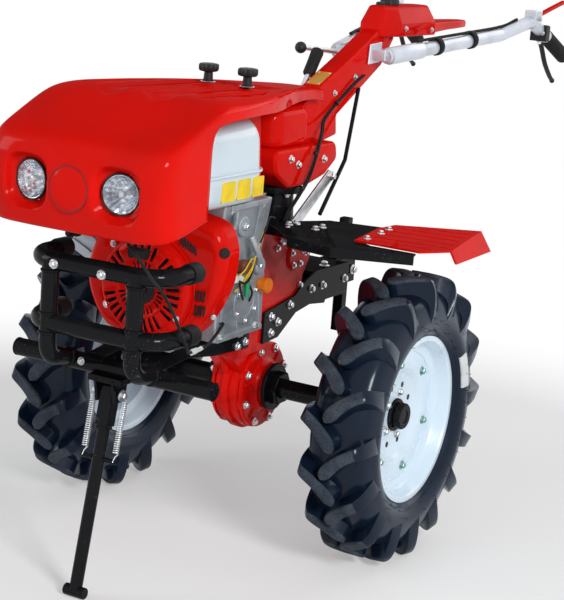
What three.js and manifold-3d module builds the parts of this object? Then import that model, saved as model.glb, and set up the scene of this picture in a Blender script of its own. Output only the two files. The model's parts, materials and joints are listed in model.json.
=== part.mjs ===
// A two-wheeled walking tractor: engine and hood in front of one driven axle,
// a raised handlebar column behind it, and a fold-up parking stand under the bumper.
// Millimetres, +Z up, the front towards -Y and the machine's left side towards +X.
import * as THREE from 'three';
import { ConvexGeometry } from 'three/addons/geometries/ConvexGeometry.js';
import { mergeVertices } from 'three/addons/utils/BufferGeometryUtils.js';
import Module from 'manifold-3d';

const wasm = await Module();
wasm.setup();

// ---------------------------------------------------------------- driving dimensions
// Shapes are laid out from the axle line (y = 0) and, in height, from the tops of the tyres, which
// the fenders clear: bigger wheels lift the whole machine and lower the axle under it.
const SEAT = 0.3; // gap left between two pieces that rest on each other

// wheels
const WHEEL_RADIUS = 290; // lug tips included
const TYRE_TOP = 580;
const AXLE_Z = TYRE_TOP - WHEEL_RADIUS;
const GROUND_Z = TYRE_TOP - 2 * WHEEL_RADIUS;
const TRACK_HALF = 338; // centre of a wheel from the middle of the machine
const TYRE_HALF_WIDTH = 70;
const RIM_FLANGE_RADIUS = 168;
const RIM_HALF_WIDTH = 51;
const RIM_WALL = 4;
const WHEEL_SIDES = 28;
const AXLE_RADIUS = 20.5;
const HUB_RADIUS = 26.5;

// gearbox, carried on the axle
const CASE_RADIUS = 92;
const GEARBOX_HALF_WIDTH = 56;
const GEARBOX_TOP = 620;
const PLATE_THICKNESS = 6;

// engine
const CRANK_HEIGHT = 556;
const ENGINE_BASE = 454;
const ENGINE_FRONT = -335;
const ENGINE_REAR = -162;
const SHROUD_DEPTH = 60;
const RECOIL_RADIUS = 97;
const TANK_BOTTOM = 716;
const TANK_TOP = 882;

// hood
const HOOD_HALF_WIDTH = 190;
const HOOD_FRONT = -664;
const HOOD_TOP = 925;
const HOOD_WALL = 4;
const LAMP_RADIUS = 38;
const LAMP_SPACING_HALF = 94.5;
const LAMP_HEIGHT = 768;
const LAMP_RECESS = 22; // from the hood's face to the lens

// bumper and stand
const BUMPER_TUBE_RADIUS = 16.7;
const BUMPER_Y = -578;
const BASE_TUBE_Y = -500;
const BASE_TUBE_Z = 418;
const BASE_TUBE_HALF = 217.8;
const UPPER_BAR_Z = 616;
const LOWER_BAR_Z = 502;
const POST_SPACING_HALF = 92;
const STAND_PIVOT_Y = -505;
const STAND_PIVOT_Z = 372;
const STAND_FOOT_Y = -583;
const STAND_TUBE = 26;
const STAND_SOCKET_DEPTH = 104; // the square socket's reach below the pivot

// steering column and handlebars
const COLUMN_HALF_WIDTH = 22;
const TURRET_Y = 55;
const COLUMN_BASE_BOTTOM = 702.3;
const COLUMN_BASE_TOP = 785;
const PIVOT_Y = 407;
const PIVOT_Z = 957;
const PIVOT_PIN_RADIUS = 8;
const HANDLEBAR_RADIUS = 15.5;

// fenders
const FENDER_Z = 640; // top of the black steel plate
const FENDER_PLATE = 4;
const FENDER_SHELL = 4;

// ---------------------------------------------------------------- finishes
const finish = (color, roughness, metalness) => new THREE.MeshStandardMaterial({ color, roughness, metalness });
const RED = finish(0xd8150c, 0.3, 0.0);
const BLACK = finish(0x101114, 0.4, 0.2);
const RUBBER = finish(0x15171b, 0.75, 0.0);
const ALLOY = finish(0x9aa1a6, 0.45, 0.8);
const STEEL = finish(0xb4b8b8, 0.35, 0.9);
const TANK_PAINT = finish(0xccdce4, 0.25, 0.0);
const RIM_PAINT = finish(0xe6ecf2, 0.3, 0.0);
const LAMP_GLASS = finish(0xdfe8f2, 0.1, 0.1);
const ORANGE = finish(0xf08a10, 0.4, 0.0);
const CABLE = finish(0x1a1b1e, 0.6, 0.0);

// ---------------------------------------------------------------- making solids
const tractor = new THREE.Group();
const V = (x, y, z) => new THREE.Vector3(x, y, z);

// One closed geometry as a manifold solid.
function solid(geometry) {
  const plain = geometry.clone();
  plain.deleteAttribute('normal');
  plain.deleteAttribute('uv');
  const merged = mergeVertices(plain, 1e-3);
  return new wasm.Manifold(new wasm.Mesh({
    numProp: 3,
    vertProperties: new Float32Array(merged.attributes.position.array),
    triVerts: new Uint32Array(merged.index.array),
  }));
}

function geometryOf(manifold) {
  const mesh = manifold.getMesh();
  const geometry = new THREE.BufferGeometry();
  geometry.setAttribute('position', new THREE.BufferAttribute(mesh.vertProperties, 3));
  geometry.setIndex(new THREE.BufferAttribute(mesh.triVerts, 1));
  return geometry;
}

const join = (first, ...others) => geometryOf(others.reduce((sum, g) => sum.add(solid(g)), solid(first)));
const cut = (first, ...others) => geometryOf(others.reduce((sum, g) => sum.subtract(solid(g)), solid(first)));

function add(name, geometry, material) {
  const mesh = new THREE.Mesh(geometry, material);
  mesh.name = name;
  tractor.add(mesh);
  return mesh;
}

// A box from its lowest to its highest corner.
function block(low, high) {
  const size = V(...high).sub(V(...low));
  const middle = V(...low).addScaledVector(size, 0.5);
  return new THREE.BoxGeometry(size.x, size.y, size.z).translate(middle.x, middle.y, middle.z);
}

// An outline of [y, z] points, extruded along X.
function sidePlate(outline, x0, x1) {
  const shape = new THREE.Shape(outline.map(([y, z]) => new THREE.Vector2(y, z)));
  const geometry = new THREE.ExtrudeGeometry(shape, { depth: x1 - x0, bevelEnabled: false });
  return geometry.rotateX(Math.PI / 2).rotateZ(Math.PI / 2).translate(x0, 0, 0);
}

// An outline of [x, z] points, extruded along Y.
function frontPlate(outline, y0, y1, bevel = 0) {
  const shape = new THREE.Shape(outline.map(([x, z]) => new THREE.Vector2(x, z)));
  const settings = { depth: y1 - y0 - 2 * bevel, bevelEnabled: bevel > 0, bevelThickness: bevel,
    bevelSize: bevel, bevelOffset: -bevel, bevelSegments: 2 };
  return new THREE.ExtrudeGeometry(shape, settings).rotateX(Math.PI / 2).translate(0, y1 - bevel, 0);
}

// An outline of [x, y] points, extruded along Z.
function flatPlate(outline, z0, z1) {
  const shape = new THREE.Shape(outline.map(([x, y]) => new THREE.Vector2(x, y)));
  return new THREE.ExtrudeGeometry(shape, { depth: z1 - z0, bevelEnabled: false }).translate(0, 0, z0);
}

// A straight round bar between two points.
function bar(from, to, radius, sides = 16) {
  const a = V(...from);
  const b = V(...to);
  const direction = b.clone().sub(a);
  const geometry = new THREE.CylinderGeometry(radius, radius, direction.length(), sides);
  geometry.applyQuaternion(new THREE.Quaternion().setFromUnitVectors(V(0, 1, 0), direction.normalize()));
  const middle = a.add(b).multiplyScalar(0.5);
  return geometry.translate(middle.x, middle.y, middle.z);
}

// A body turned about the X axis through (y, z): profile of [x, radius] points.
function turnedX(profile, y, z, sides = 32, close = false) {
  const points = profile.map(([x, r]) => new THREE.Vector2(r, x));
  if (close) points.push(points[0].clone());
  const geometry = new THREE.LatheGeometry(points, sides);
  return orient(geometry.rotateZ(-Math.PI / 2).translate(0, y, z));
}

// A body turned about the Z axis through (x, y): profile of [z, radius] points.
function turnedZ(profile, x, y, sides = 32) {
  const points = profile.map(([z, r]) => new THREE.Vector2(r, z));
  return orient(new THREE.LatheGeometry(points, sides).rotateX(Math.PI / 2).translate(x, y, 0));
}

// A body turned about the Y axis through (x, z): profile of [y, radius] points.
function turnedY(profile, x, z, sides = 32) {
  const points = profile.map(([y, r]) => new THREE.Vector2(r, y));
  return orient(new THREE.LatheGeometry(points, sides).translate(x, 0, z));
}

// Faces pointing out, whichever way the profile ran.
function orient(geometry) {
  const merged = mergeVertices(stripped(geometry), 1e-3);
  const index = merged.index.array;
  const p = merged.attributes.position;
  const [a, b, c] = [V(0, 0, 0), V(0, 0, 0), V(0, 0, 0)];
  let volume = 0;
  for (let i = 0; i < index.length; i += 3) {
    a.fromBufferAttribute(p, index[i]);
    b.fromBufferAttribute(p, index[i + 1]);
    c.fromBufferAttribute(p, index[i + 2]);
    volume += a.dot(b.cross(c));
  }
  if (volume < 0) {
    for (let i = 0; i < index.length; i += 3) [index[i], index[i + 1]] = [index[i + 1], index[i]];
  }
  return merged;
}

function stripped(geometry) {
  const plain = geometry.clone();
  plain.deleteAttribute('normal');
  plain.deleteAttribute('uv');
  return plain;
}

// A path whose stations are the given points, so that a tube gets one ring at each.
class StationPath extends THREE.Curve {
  constructor(stations) {
    super();
    this.stations = stations;
  }

  getPoint(t) {
    return this.stations[Math.round(t * (this.stations.length - 1))].clone();
  }

  getPointAt(u) {
    return this.getPoint(u);
  }

  getTangentAt(u) {
    const last = this.stations.length - 1;
    const i = Math.round(u * last);
    const before = this.stations[Math.max(i - 1, 0)];
    const here = this.stations[i];
    const after = this.stations[Math.min(i + 1, last)];
    const tangent = V(0, 0, 0);
    if (i > 0) tangent.add(here.clone().sub(before).normalize());
    if (i < last) tangent.add(after.clone().sub(here).normalize());
    return tangent.normalize();
  }
}

// Stations of a bent tube: straight runs between corners, and an arc at each corner.
function bends(corners, bendRadius, steps = 4) {
  const points = corners.map((c) => V(...c));
  const stations = [points[0]];
  for (let i = 1; i < points.length - 1; i += 1) {
    const back = points[i - 1].clone().sub(points[i]).normalize();
    const on = points[i + 1].clone().sub(points[i]).normalize();
    const half = back.angleTo(on) / 2;
    const setback = bendRadius / Math.tan(half);
    const start = points[i].clone().addScaledVector(back, setback);
    const end = points[i].clone().addScaledVector(on, setback);
    const centre = points[i].clone().addScaledVector(back.clone().add(on).normalize(),
      bendRadius / Math.sin(half));
    for (let k = 0; k <= steps; k += 1) {
      const chord = start.clone().lerp(end, k / steps).sub(centre);
      stations.push(chord.normalize().multiplyScalar(bendRadius).add(centre));
    }
  }
  stations.push(points[points.length - 1]);
  return stations;
}

function tube(stations, radius, sides = 12) {
  const ring = [];
  for (let i = 0; i < sides; i += 1) {
    const angle = (2 * Math.PI * i) / sides;
    ring.push(new THREE.Vector2(radius * Math.cos(angle), radius * Math.sin(angle)));
  }
  const path = new StationPath(stations);
  return orient(new THREE.ExtrudeGeometry(new THREE.Shape(ring),
    { steps: stations.length - 1, extrudePath: path, bevelEnabled: false }));
}

// The convex body around some points, each also mirrored to -X.
function mirroredHull(points) {
  const all = points.flatMap(([x, y, z]) => [V(x, y, z), V(-x, y, z)]);
  return orient(new ConvexGeometry(all));
}

const SIDES = [['left', 1], ['right', -1]];
const mirrorX = (geometry, side) => (side > 0 ? geometry : orient(geometry.clone().scale(-1, 1, 1)));

// ---------------------------------------------------------------- wheels and axle
const HUB_INNER = TRACK_HALF - 66;
const HUB_CAP = TRACK_HALF + 26;
const BEAD_RADIUS = RIM_FLANGE_RADIUS - 10;
const WELL_RADIUS = RIM_FLANGE_RADIUS - 33;
const DISC_PLANE = -6; // wheel disc, from the middle of the rim, outward
const HUB_FLANGE_RADIUS = 62;
const HUB_FLANGE = 10;

// Shaft and both hubs, turned as one: the drive has no differential.
function axle() {
  const flangeOut = TRACK_HALF + DISC_PLANE - SEAT;
  const flangeIn = flangeOut - HUB_FLANGE;
  const half = [[HUB_INNER, AXLE_RADIUS], [HUB_INNER, HUB_RADIUS], [flangeIn, HUB_RADIUS],
    [flangeIn, HUB_FLANGE_RADIUS], [flangeOut, HUB_FLANGE_RADIUS], [flangeOut, HUB_RADIUS],
    [HUB_CAP, HUB_RADIUS], [HUB_CAP, 0]];
  const mirrored = half.map(([x, r]) => [-x, r]).reverse();
  return turnedX([...mirrored, ...half], 0, AXLE_Z, 20);
}

// A drop-centre rim with its dished disc, one closed profile around the hub.
function rim(side) {
  const edge = RIM_HALF_WIDTH;
  const wall = RIM_WALL;
  const wellHalf = 16;
  const discIn = DISC_PLANE;
  const discOut = DISC_PLANE + wall;
  const bore = HUB_RADIUS + 2 * SEAT;
  const profile = [
    [-edge, RIM_FLANGE_RADIUS], [-edge, BEAD_RADIUS - wall], [-wellHalf - wall, WELL_RADIUS - wall],
    [discIn, WELL_RADIUS - wall], [discIn, bore], [discOut, bore], [discOut, 96],
    [discOut + 10, WELL_RADIUS - wall], [wellHalf + wall, WELL_RADIUS - wall], [edge, BEAD_RADIUS - wall],
    [edge, RIM_FLANGE_RADIUS], [edge - wall, RIM_FLANGE_RADIUS], [edge - wall, BEAD_RADIUS],
    [wellHalf, WELL_RADIUS], [-wellHalf, WELL_RADIUS], [wall - edge, BEAD_RADIUS],
    [wall - edge, RIM_FLANGE_RADIUS]];
  return turnedX(profile.map(([x, r]) => [side * (x + TRACK_HALF), r]), 0, 0, WHEEL_SIDES, true);
}

// A hollow tyre whose beads sit on the rim; its crown has a flat facet on the ground.
function tyre(side) {
  const crown = WHEEL_RADIUS / Math.cos(Math.PI / WHEEL_SIDES);
  const bead = BEAD_RADIUS + SEAT;
  const beadOut = RIM_HALF_WIDTH - RIM_WALL - SEAT;
  const wide = TYRE_HALF_WIDTH;
  const half = [[0, crown], [wide * 0.8, crown - 6], [wide * 0.95, crown - 28], [wide, crown - 84],
    [beadOut, RIM_FLANGE_RADIUS + 4], [beadOut, bead], [beadOut - 12, bead], [wide * 0.8, crown - 70],
    [0, crown - 28]];
  const profile = [...half, ...half.slice(1, -1).reverse().map(([x, r]) => [-x, r])];
  return turnedX(profile.map(([x, r]) => [side * TRACK_HALF + x, r]), 0, 0, WHEEL_SIDES, true);
}

add('axle', axle(), BLACK);
for (const [name, side] of SIDES) {
  for (const [piece, make, material] of [['rim', rim, RIM_PAINT], ['tyre', tyre, RUBBER]]) {
    const mesh = add(`${piece}_${name}`, make(side), material);
    mesh.rotation.x = Math.PI / WHEEL_SIDES; // half a facet, so that a flat one faces down
    mesh.position.z = AXLE_Z;
  }
}

// ---------------------------------------------------------------- gearbox and frame
const CASE_HALF = 36;
const CASE_BOSS = 58;
const BORE_RADIUS = AXLE_RADIUS + 0.7;
const LEG_FRONT = -150;
const LEG_REAR = -35;

// The upright leg, the shaft housing behind it and the round final drive, one casting.
function gearbox() {
  const leg = block([-GEARBOX_HALF_WIDTH, LEG_FRONT, AXLE_Z + 88],
    [GEARBOX_HALF_WIDTH, LEG_REAR, GEARBOX_TOP]);
  const neck = sidePlate([[LEG_FRONT + 10, AXLE_Z + 95], [-62, AXLE_Z + 20], [40, AXLE_Z + 20],
    [62, AXLE_Z + 60], [LEG_REAR, AXLE_Z + 110]], -CASE_HALF + 6, CASE_HALF - 6);
  const housing = sidePlate([[LEG_REAR - 5, GEARBOX_TOP], [100, GEARBOX_TOP], [135, 578], [118, 540],
    [98, 512], [98, 480], [60, 466], [LEG_REAR - 5, 460]], -GEARBOX_HALF_WIDTH, GEARBOX_HALF_WIDTH);
  const drum = turnedX([[-CASE_BOSS, BORE_RADIUS], [-CASE_BOSS, 40], [-CASE_HALF + 2, 44],
    [-CASE_HALF, 78], [-CASE_HALF + 12, CASE_RADIUS], [-7, CASE_RADIUS], [-7, CASE_RADIUS + 6],
    [7, CASE_RADIUS + 6], [7, CASE_RADIUS], [CASE_HALF - 12, CASE_RADIUS], [CASE_HALF, 78],
    [CASE_HALF - 2, 44], [CASE_BOSS, 40], [CASE_BOSS, BORE_RADIUS]], 0, AXLE_Z, 24, true);
  const bore = turnedX([[-90, 0], [-90, BORE_RADIUS], [90, BORE_RADIUS], [90, 0]], 0, AXLE_Z, 24);
  return geometryOf(solid(leg).add(solid(neck)).add(solid(housing)).add(solid(drum)).subtract(solid(bore)));
}
add('gearbox', gearbox(), RED);

for (const [name, side] of SIDES) {
  const face = CASE_BOSS + SEAT;
  const seal = turnedX([[face, BORE_RADIUS], [face, 50], [face + 8, 50], [face + 8, 36],
    [face + 26, 34], [face + 26, BORE_RADIUS]], 0, AXLE_Z, 24, true);
  add(`axle_collar_${name}`, mirrorX(seal, side), BLACK);

  const inner = GEARBOX_HALF_WIDTH + SEAT;
  const rearOutline = [[-62, 392], [0, 396], [70, 436], [130, 444], [196, 436], [205, 452], [300, 446],
    [300, 512], [150, 514], [105, 500], [62, 474], [-62, 458]];
  add(`rear_plate_${name}`, mirrorX(sidePlate(rearOutline, inner, inner + PLATE_THICKNESS), side), BLACK);
}

// The implement hitch between the rear plates, and the upright bar in its clevis.
const HITCH_HALF = GEARBOX_HALF_WIDTH;
function hitch() {
  const box = block([-HITCH_HALF, 150, 440], [HITCH_HALF, 300, 510]);
  const hollow = block([-HITCH_HALF + 8, 142, 448], [HITCH_HALF - 8, 292, 502]);
  const ears = SIDES.map(([, side]) => mirrorX(block([12, 299, 446], [22, 410, 504]), side));
  return geometryOf(solid(box).subtract(solid(hollow)).add(solid(ears[0])).add(solid(ears[1])));
}
add('hitch_bracket', hitch(), BLACK);
add('hitch_bar', block([-12 + SEAT, 380, 330], [12 - SEAT, 402, 590]), BLACK);

// The engine bed: a plate on two bearers bolted beside the gearbox leg.
function engineBed() {
  const inner = GEARBOX_HALF_WIDTH + SEAT;
  const deckFront = ENGINE_FRONT + 2;
  const top = ENGINE_BASE - SEAT;
  const bearer = [[deckFront, top], [deckFront, 436], [-380, 436], [-380, 424], [-250, 404], [-118, 396], [-118, top]];
  const bearers = SIDES.map(([, side]) => mirrorX(sidePlate(bearer, inner, inner + PLATE_THICKNESS), side));
  const deck = block([-96, deckFront, top - 7], [96, LEG_FRONT - SEAT, top]);
  return geometryOf(solid(deck).add(solid(bearers[0])).add(solid(bearers[1])));
}
add('engine_bed', engineBed(), BLACK);

// ---------------------------------------------------------------- bumper
const CAGE_END_Y = -460;
const CAGE_HALF = 143;
const POST_BEND_Z = 437;

// Two bars with swept-back ends on two posts that curve back towards the base tube.
function bumperCage() {
  const bars = [UPPER_BAR_Z, LOWER_BAR_Z].map((z) => tube(bends([[-CAGE_HALF, CAGE_END_Y, z],
    [-CAGE_HALF, BUMPER_Y, z], [CAGE_HALF, BUMPER_Y, z], [CAGE_HALF, CAGE_END_Y, z]], 62), BUMPER_TUBE_RADIUS, 10));
  const posts = SIDES.map(([, side]) => tube(bends([
    [side * POST_SPACING_HALF, BUMPER_Y, UPPER_BAR_Z - 2], [side * POST_SPACING_HALF, BUMPER_Y, POST_BEND_Z],
    [side * POST_SPACING_HALF, BASE_TUBE_Y - BUMPER_TUBE_RADIUS + SEAT, BASE_TUBE_Z + 6]], 34),
  BUMPER_TUBE_RADIUS - 0.5, 10));
  return join(bars[0], bars[1], ...posts);
}
add('bumper_cage', bumperCage(), BLACK);

// The base tube, its two bearers back to the engine bed, and the stand's bracket under it.
const STAND_EAR_INNER = STAND_TUBE / 2 + 3;
const STAND_EAR_OUTER = STAND_EAR_INNER + 6;
const STAND_PIN_RADIUS = 7;
const SPRING_X = 34;
const BRACKET_CROWN = BASE_TUBE_Z - BUMPER_TUBE_RADIUS;

function bumperBase() {
  const across = bar([-BASE_TUBE_HALF, BASE_TUBE_Y, BASE_TUBE_Z], [BASE_TUBE_HALF, BASE_TUBE_Y, BASE_TUBE_Z],
    BUMPER_TUBE_RADIUS, 20);
  const inner = GEARBOX_HALF_WIDTH + PLATE_THICKNESS + 2 * SEAT;
  const strap = [[BASE_TUBE_Y, BASE_TUBE_Z - 8], [BASE_TUBE_Y, BASE_TUBE_Z + 12], [-380, 446], [-250, 446],
    [-250, 428], [-330, 424]];
  const straps = SIDES.map(([, side]) => mirrorX(sidePlate(strap, inner, inner + PLATE_THICKNESS), side));
  const cheek = [[STAND_PIVOT_Y - 24, BRACKET_CROWN], [STAND_PIVOT_Y + 24, BRACKET_CROWN],
    [STAND_PIVOT_Y + 16, STAND_PIVOT_Z - 14], [STAND_PIVOT_Y - 16, STAND_PIVOT_Z - 14]];
  const cheeks = SIDES.map(([, side]) => mirrorX(sidePlate(cheek, STAND_EAR_INNER, STAND_EAR_OUTER), side));
  const crown = block([-STAND_EAR_OUTER - 14, STAND_PIVOT_Y - 22, BRACKET_CROWN - 6],
    [STAND_EAR_OUTER + 14, STAND_PIVOT_Y + 22, BRACKET_CROWN + 6]);
  const pin = bar([-STAND_EAR_OUTER - 4, STAND_PIVOT_Y, STAND_PIVOT_Z],
    [STAND_EAR_OUTER + 4, STAND_PIVOT_Y, STAND_PIVOT_Z], STAND_PIN_RADIUS);
  return join(across, ...straps, crown, ...cheeks, pin);
}
add('bumper_base', bumperBase(), BLACK);

// ---------------------------------------------------------------- parking stand
// Everything on the stand is drawn hanging straight down, then leant to its foot.
const STAND_DROP = STAND_PIVOT_Z - GROUND_Z;
const STAND_LENGTH = Math.hypot(STAND_FOOT_Y - STAND_PIVOT_Y, STAND_DROP);
const STAND_LEAN = Math.atan2(STAND_PIVOT_Y - STAND_FOOT_Y, STAND_DROP);
function leaned(geometry) {
  return geometry.rotateX(-STAND_LEAN).translate(0, STAND_PIVOT_Y, STAND_PIVOT_Z);
}
function standLeg() {
  const half = STAND_TUBE / 2;
  const pinHole = bar([-30, 0, 0], [30, 0, 0], STAND_PIN_RADIUS + 0.5, 24);
  const head = bar([-half, 0, 0], [half, 0, 0], 16, 24);
  const socket = block([-half, -half, -STAND_SOCKET_DEPTH], [half, half, 2]);
  const tubeLeg = bar([0, 0, -STAND_LENGTH + 4], [0, 0, 4 - STAND_SOCKET_DEPTH], half - 1, 24);
  const ear = block([-SPRING_X - 6, -5, -126], [SPRING_X + 6, 5, -116]);
  const leg = leaned(geometryOf([socket, tubeLeg, ear].reduce((sum, g) => sum.add(solid(g)), solid(head))
    .subtract(solid(pinHole))));
  const foot = block([-22, STAND_FOOT_Y - 12, GROUND_Z], [22, STAND_FOOT_Y + 12, GROUND_Z + 20]);
  const ground = block([-200, -900, GROUND_Z - 60], [200, -300, GROUND_Z]);
  return geometryOf(solid(leg).subtract(solid(ground)).add(solid(foot)));
}
add('stand_leg', standLeg(), BLACK);
for (const [name, side] of SIDES) {
  const spring = bar([side * SPRING_X, 0, -115.7], [side * SPRING_X, 0, 6], 6.5, 10);
  add(`stand_spring_${name}`, leaned(spring), STEEL);
}

// ---------------------------------------------------------------- engine
const CYLINDER_RISE = THREE.MathUtils.degToRad(25);
const alongCylinder = (reach, across) => [
  -reach * Math.cos(CYLINDER_RISE) + across * Math.sin(CYLINDER_RISE),
  CRANK_HEIGHT + reach * Math.sin(CYLINDER_RISE) + across * Math.cos(CYLINDER_RISE)];

// Crankcase with the inclined cylinder and the tank's bracket, one casting.
function engineBlock() {
  const crankcase = frontPlate([[-95, ENGINE_BASE], [112, ENGINE_BASE], [112, 565], [100, 600],
    [118, TANK_BOTTOM - SEAT], [-58, TANK_BOTTOM - SEAT], [-60, 640], [-95, 600]], ENGINE_FRONT, ENGINE_REAR);
  const barrel = frontPlate([alongCylinder(60, -66), alongCylinder(60, 66), alongCylinder(170, 66),
    alongCylinder(170, -66)], ENGINE_FRONT + 12, ENGINE_REAR - 16);
  return join(crankcase, barrel);
}
add('engine_block', engineBlock(), ALLOY);
add('cylinder_head', frontPlate([alongCylinder(170.3, -74), alongCylinder(170.3, 74), alongCylinder(226, 74),
  alongCylinder(226, -74)], ENGINE_FRONT + 6, ENGINE_REAR - 10), ALLOY);

const SHROUD_BACK = ENGINE_FRONT - SEAT;
const SHROUD_FRONT = SHROUD_BACK - SHROUD_DEPTH;
add('fan_shroud', frontPlate([[-60, 447], [46, 447], [92, 478], [122, 519], [145, 568], [153, 614], [151, 652],
  [128, 688], [60, 700], [-66, 680], [-122, 642], [-146, 592], [-148, 540], [-128, 492], [-98, 460]],
SHROUD_FRONT, SHROUD_BACK, 18), RED);

const RECOIL_BACK = SHROUD_FRONT - SEAT;
add('recoil_starter', turnedY([[RECOIL_BACK, 0], [RECOIL_BACK, RECOIL_RADIUS], [RECOIL_BACK - 18, RECOIL_RADIUS - 3],
  [RECOIL_BACK - 30, RECOIL_RADIUS - 16], [RECOIL_BACK - 30, 0]], 0, CRANK_HEIGHT, 36), RED);
const RECOIL_FACE = RECOIL_BACK - 30;
add('recoil_handle', block([-20, RECOIL_FACE - 24, CRANK_HEIGHT + 56],
  [20, RECOIL_FACE - SEAT, CRANK_HEIGHT + 80]), RUBBER);

// The tank: two pressed halves with rounded corners, joined at a flange.
const TANK_X = [-150, 140];
const TANK_Y = [-466, -228];
const TANK_SEAM = 779;
function roundedTray(x0, x1, y0, y1, radius, z0, z1, bevel, bevelUp) {
  const shape = new THREE.Shape();
  shape.moveTo(x0 + radius, y0);
  shape.lineTo(x1 - radius, y0);
  shape.absarc(x1 - radius, y0 + radius, radius, -Math.PI / 2, 0);
  shape.lineTo(x1, y1 - radius);
  shape.absarc(x1 - radius, y1 - radius, radius, 0, Math.PI / 2);
  shape.lineTo(x0 + radius, y1);
  shape.absarc(x0 + radius, y1 - radius, radius, Math.PI / 2, Math.PI);
  shape.lineTo(x0, y0 + radius);
  shape.absarc(x0 + radius, y0 + radius, radius, Math.PI, 1.5 * Math.PI);
  const settings = { depth: z1 - z0, bevelEnabled: true, bevelThickness: bevel, bevelSize: bevel,
    bevelOffset: -bevel, bevelSegments: 2, curveSegments: 3 };
  const whole = solid(orient(new THREE.ExtrudeGeometry(shape, settings).translate(0, 0, z0)));
  const waste = bevelUp ? block([x0 - 9, y0 - 9, z0 - bevel - 9], [x1 + 9, y1 + 9, z0])
    : block([x0 - 9, y0 - 9, z1], [x1 + 9, y1 + 9, z1 + bevel + 9]);
  return whole.subtract(solid(waste));
}
function fuelTank() {
  const [x0, x1] = TANK_X;
  const [y0, y1] = TANK_Y;
  const lower = roundedTray(x0, x1, y0, y1, 48, TANK_BOTTOM + 22, TANK_SEAM, 22, false);
  const upper = roundedTray(x0, x1, y0, y1, 48, TANK_SEAM, TANK_TOP - 40, 40, true);
  const seam = solid(block([x0 - 6, y0 - 6, TANK_SEAM - 2.5], [x1 + 6, y1 + 6, TANK_SEAM + 2.5]));
  const trim = roundedTray(x0 - 8, x1 + 8, y0 - 8, y1 + 8, 52, TANK_SEAM - 10, TANK_SEAM + 10, 1, true);
  return geometryOf(lower.add(upper).add(seam.intersect(trim)));
}
add('fuel_tank', fuelTank(), TANK_PAINT);
add('fuel_cap', turnedZ([[TANK_TOP + SEAT, 0], [TANK_TOP + SEAT, 36], [TANK_TOP + 18, 36], [TANK_TOP + 18, 0]],
  -10, -350, 24), BLACK);

const HEAD_TOP = alongCylinder(226, 74)[1]; // highest edge of the cylinder head
const AIR_CLEANER_BASE = HEAD_TOP + SEAT;
add('air_cleaner', join(block([-232, -436, AIR_CLEANER_BASE], [-158, -310, 806]),
  bar([-195, -395, AIR_CLEANER_BASE + 4], [-195, -395, 818], 28, 16)), BLACK);
add('muffler', join(block([-236, -294, 742], [-162, -160, 808]),
  block([-186, -262, HEAD_TOP + SEAT], [-164, -222, 744])), STEEL);
add('oil_filler_cap', turnedX([[112 + SEAT, 0], [112 + SEAT, 13], [134, 15], [134, 0]], -180, 545, 12), ORANGE);

// ---------------------------------------------------------------- hood
// The roof falls gently from its front edge to the knobs.
const ROOF_FRONT = -448;
const ROOF_FALL = 0.025;
const roofHeight = (y) => HOOD_TOP - (y - ROOF_FRONT) * ROOF_FALL;
const KNOB_X = 44;
const KNOB_Y = -165;

// Half of the skin's corner points; `inset` draws the inner face.
function hoodBody(inset) {
  const w = HOOD_HALF_WIDTH - inset;
  const front = HOOD_FRONT + inset;
  const top = HOOD_TOP - inset;
  const roof = (y) => roofHeight(y) - inset;
  const down = inset * 6; // the inner body runs out below, which leaves the hood open
  return mirroredHull([
    [130, front + 8, 689 - down], [166, front + 26, 692 - down], [w, front + 66, 699 - down],
    [132, front, 772], [170, front + 16, 780], [w, front + 58, 790],
    [126, front + 22, 848 - inset], [168, front + 44, 846 - inset], [w, front + 92, 846 - inset],
    [w, -508 + inset, 727 - down], [w, -400, 800 - down], [w, -400, 846 - inset],
    [138, ROOF_FRONT, top], [146, -400, roof(-400)], [140, -230, roof(-230)], [112, -105, roof(-105)],
    [160, -330, 905 - inset],
    [42 - inset, 150 - inset, 899 - inset], [48 - inset, 148 - inset, 868 - down], [w - 60, -210, 850 - down]]);
}

// Front shell and roof; behind the engine's face the sides are open under the roof beams.
const BEAM_FRONT = -515;
function hood() {
  const shell = solid(hoodBody(0)).subtract(solid(hoodBody(HOOD_WALL)));
  const opening = sidePlate([[BEAM_FRONT, 600], [220, 600], [220, 868], [120, 880], [0, 884], [-228, 884],
    [-330, 891], [-485, 888], [-504, 878], [BEAM_FRONT, 858]], -260, 260);
  const lampBar = (side, y0, y1, radius) => bar([side * LAMP_SPACING_HALF, HOOD_FRONT + y0, LAMP_HEIGHT],
    [side * LAMP_SPACING_HALF, HOOD_FRONT + y1, LAMP_HEIGHT], radius, 24);
  const buckets = SIDES.map(([, side]) => lampBar(side, 2, LAMP_RECESS + 20, LAMP_RADIUS + HOOD_WALL + SEAT));
  const lamps = SIDES.map(([, side]) => lampBar(side, -30, 90, LAMP_RADIUS + 2 * SEAT));
  const studs = SIDES.map(([, side]) => bar([side * KNOB_X, KNOB_Y, HOOD_TOP - 40], [side * KNOB_X, KNOB_Y, HOOD_TOP + 40],
    5.5, 12));
  const columnSlot = block([-COLUMN_HALF_WIDTH - 8, 60, 600], [COLUMN_HALF_WIDTH + 8, 220, 893]);
  const body = buckets.reduce((sum, g) => sum.add(solid(g)), shell);
  return geometryOf([opening, columnSlot, ...lamps, ...studs].reduce((sum, g) => sum.subtract(solid(g)), body));
}
add('hood', hood(), RED);
for (const [name, side] of SIDES) {
  const lens = HOOD_FRONT + LAMP_RECESS;
  const lamp = turnedY([[lens - 6, 0], [lens - 2, 24], [lens + 7, LAMP_RADIUS], [lens + 24, LAMP_RADIUS],
    [lens + 46, 20], [lens + 46, 0]],
  side * LAMP_SPACING_HALF, LAMP_HEIGHT, 24);
  add(`headlight_${name}`, lamp, LAMP_GLASS);
}

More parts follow.
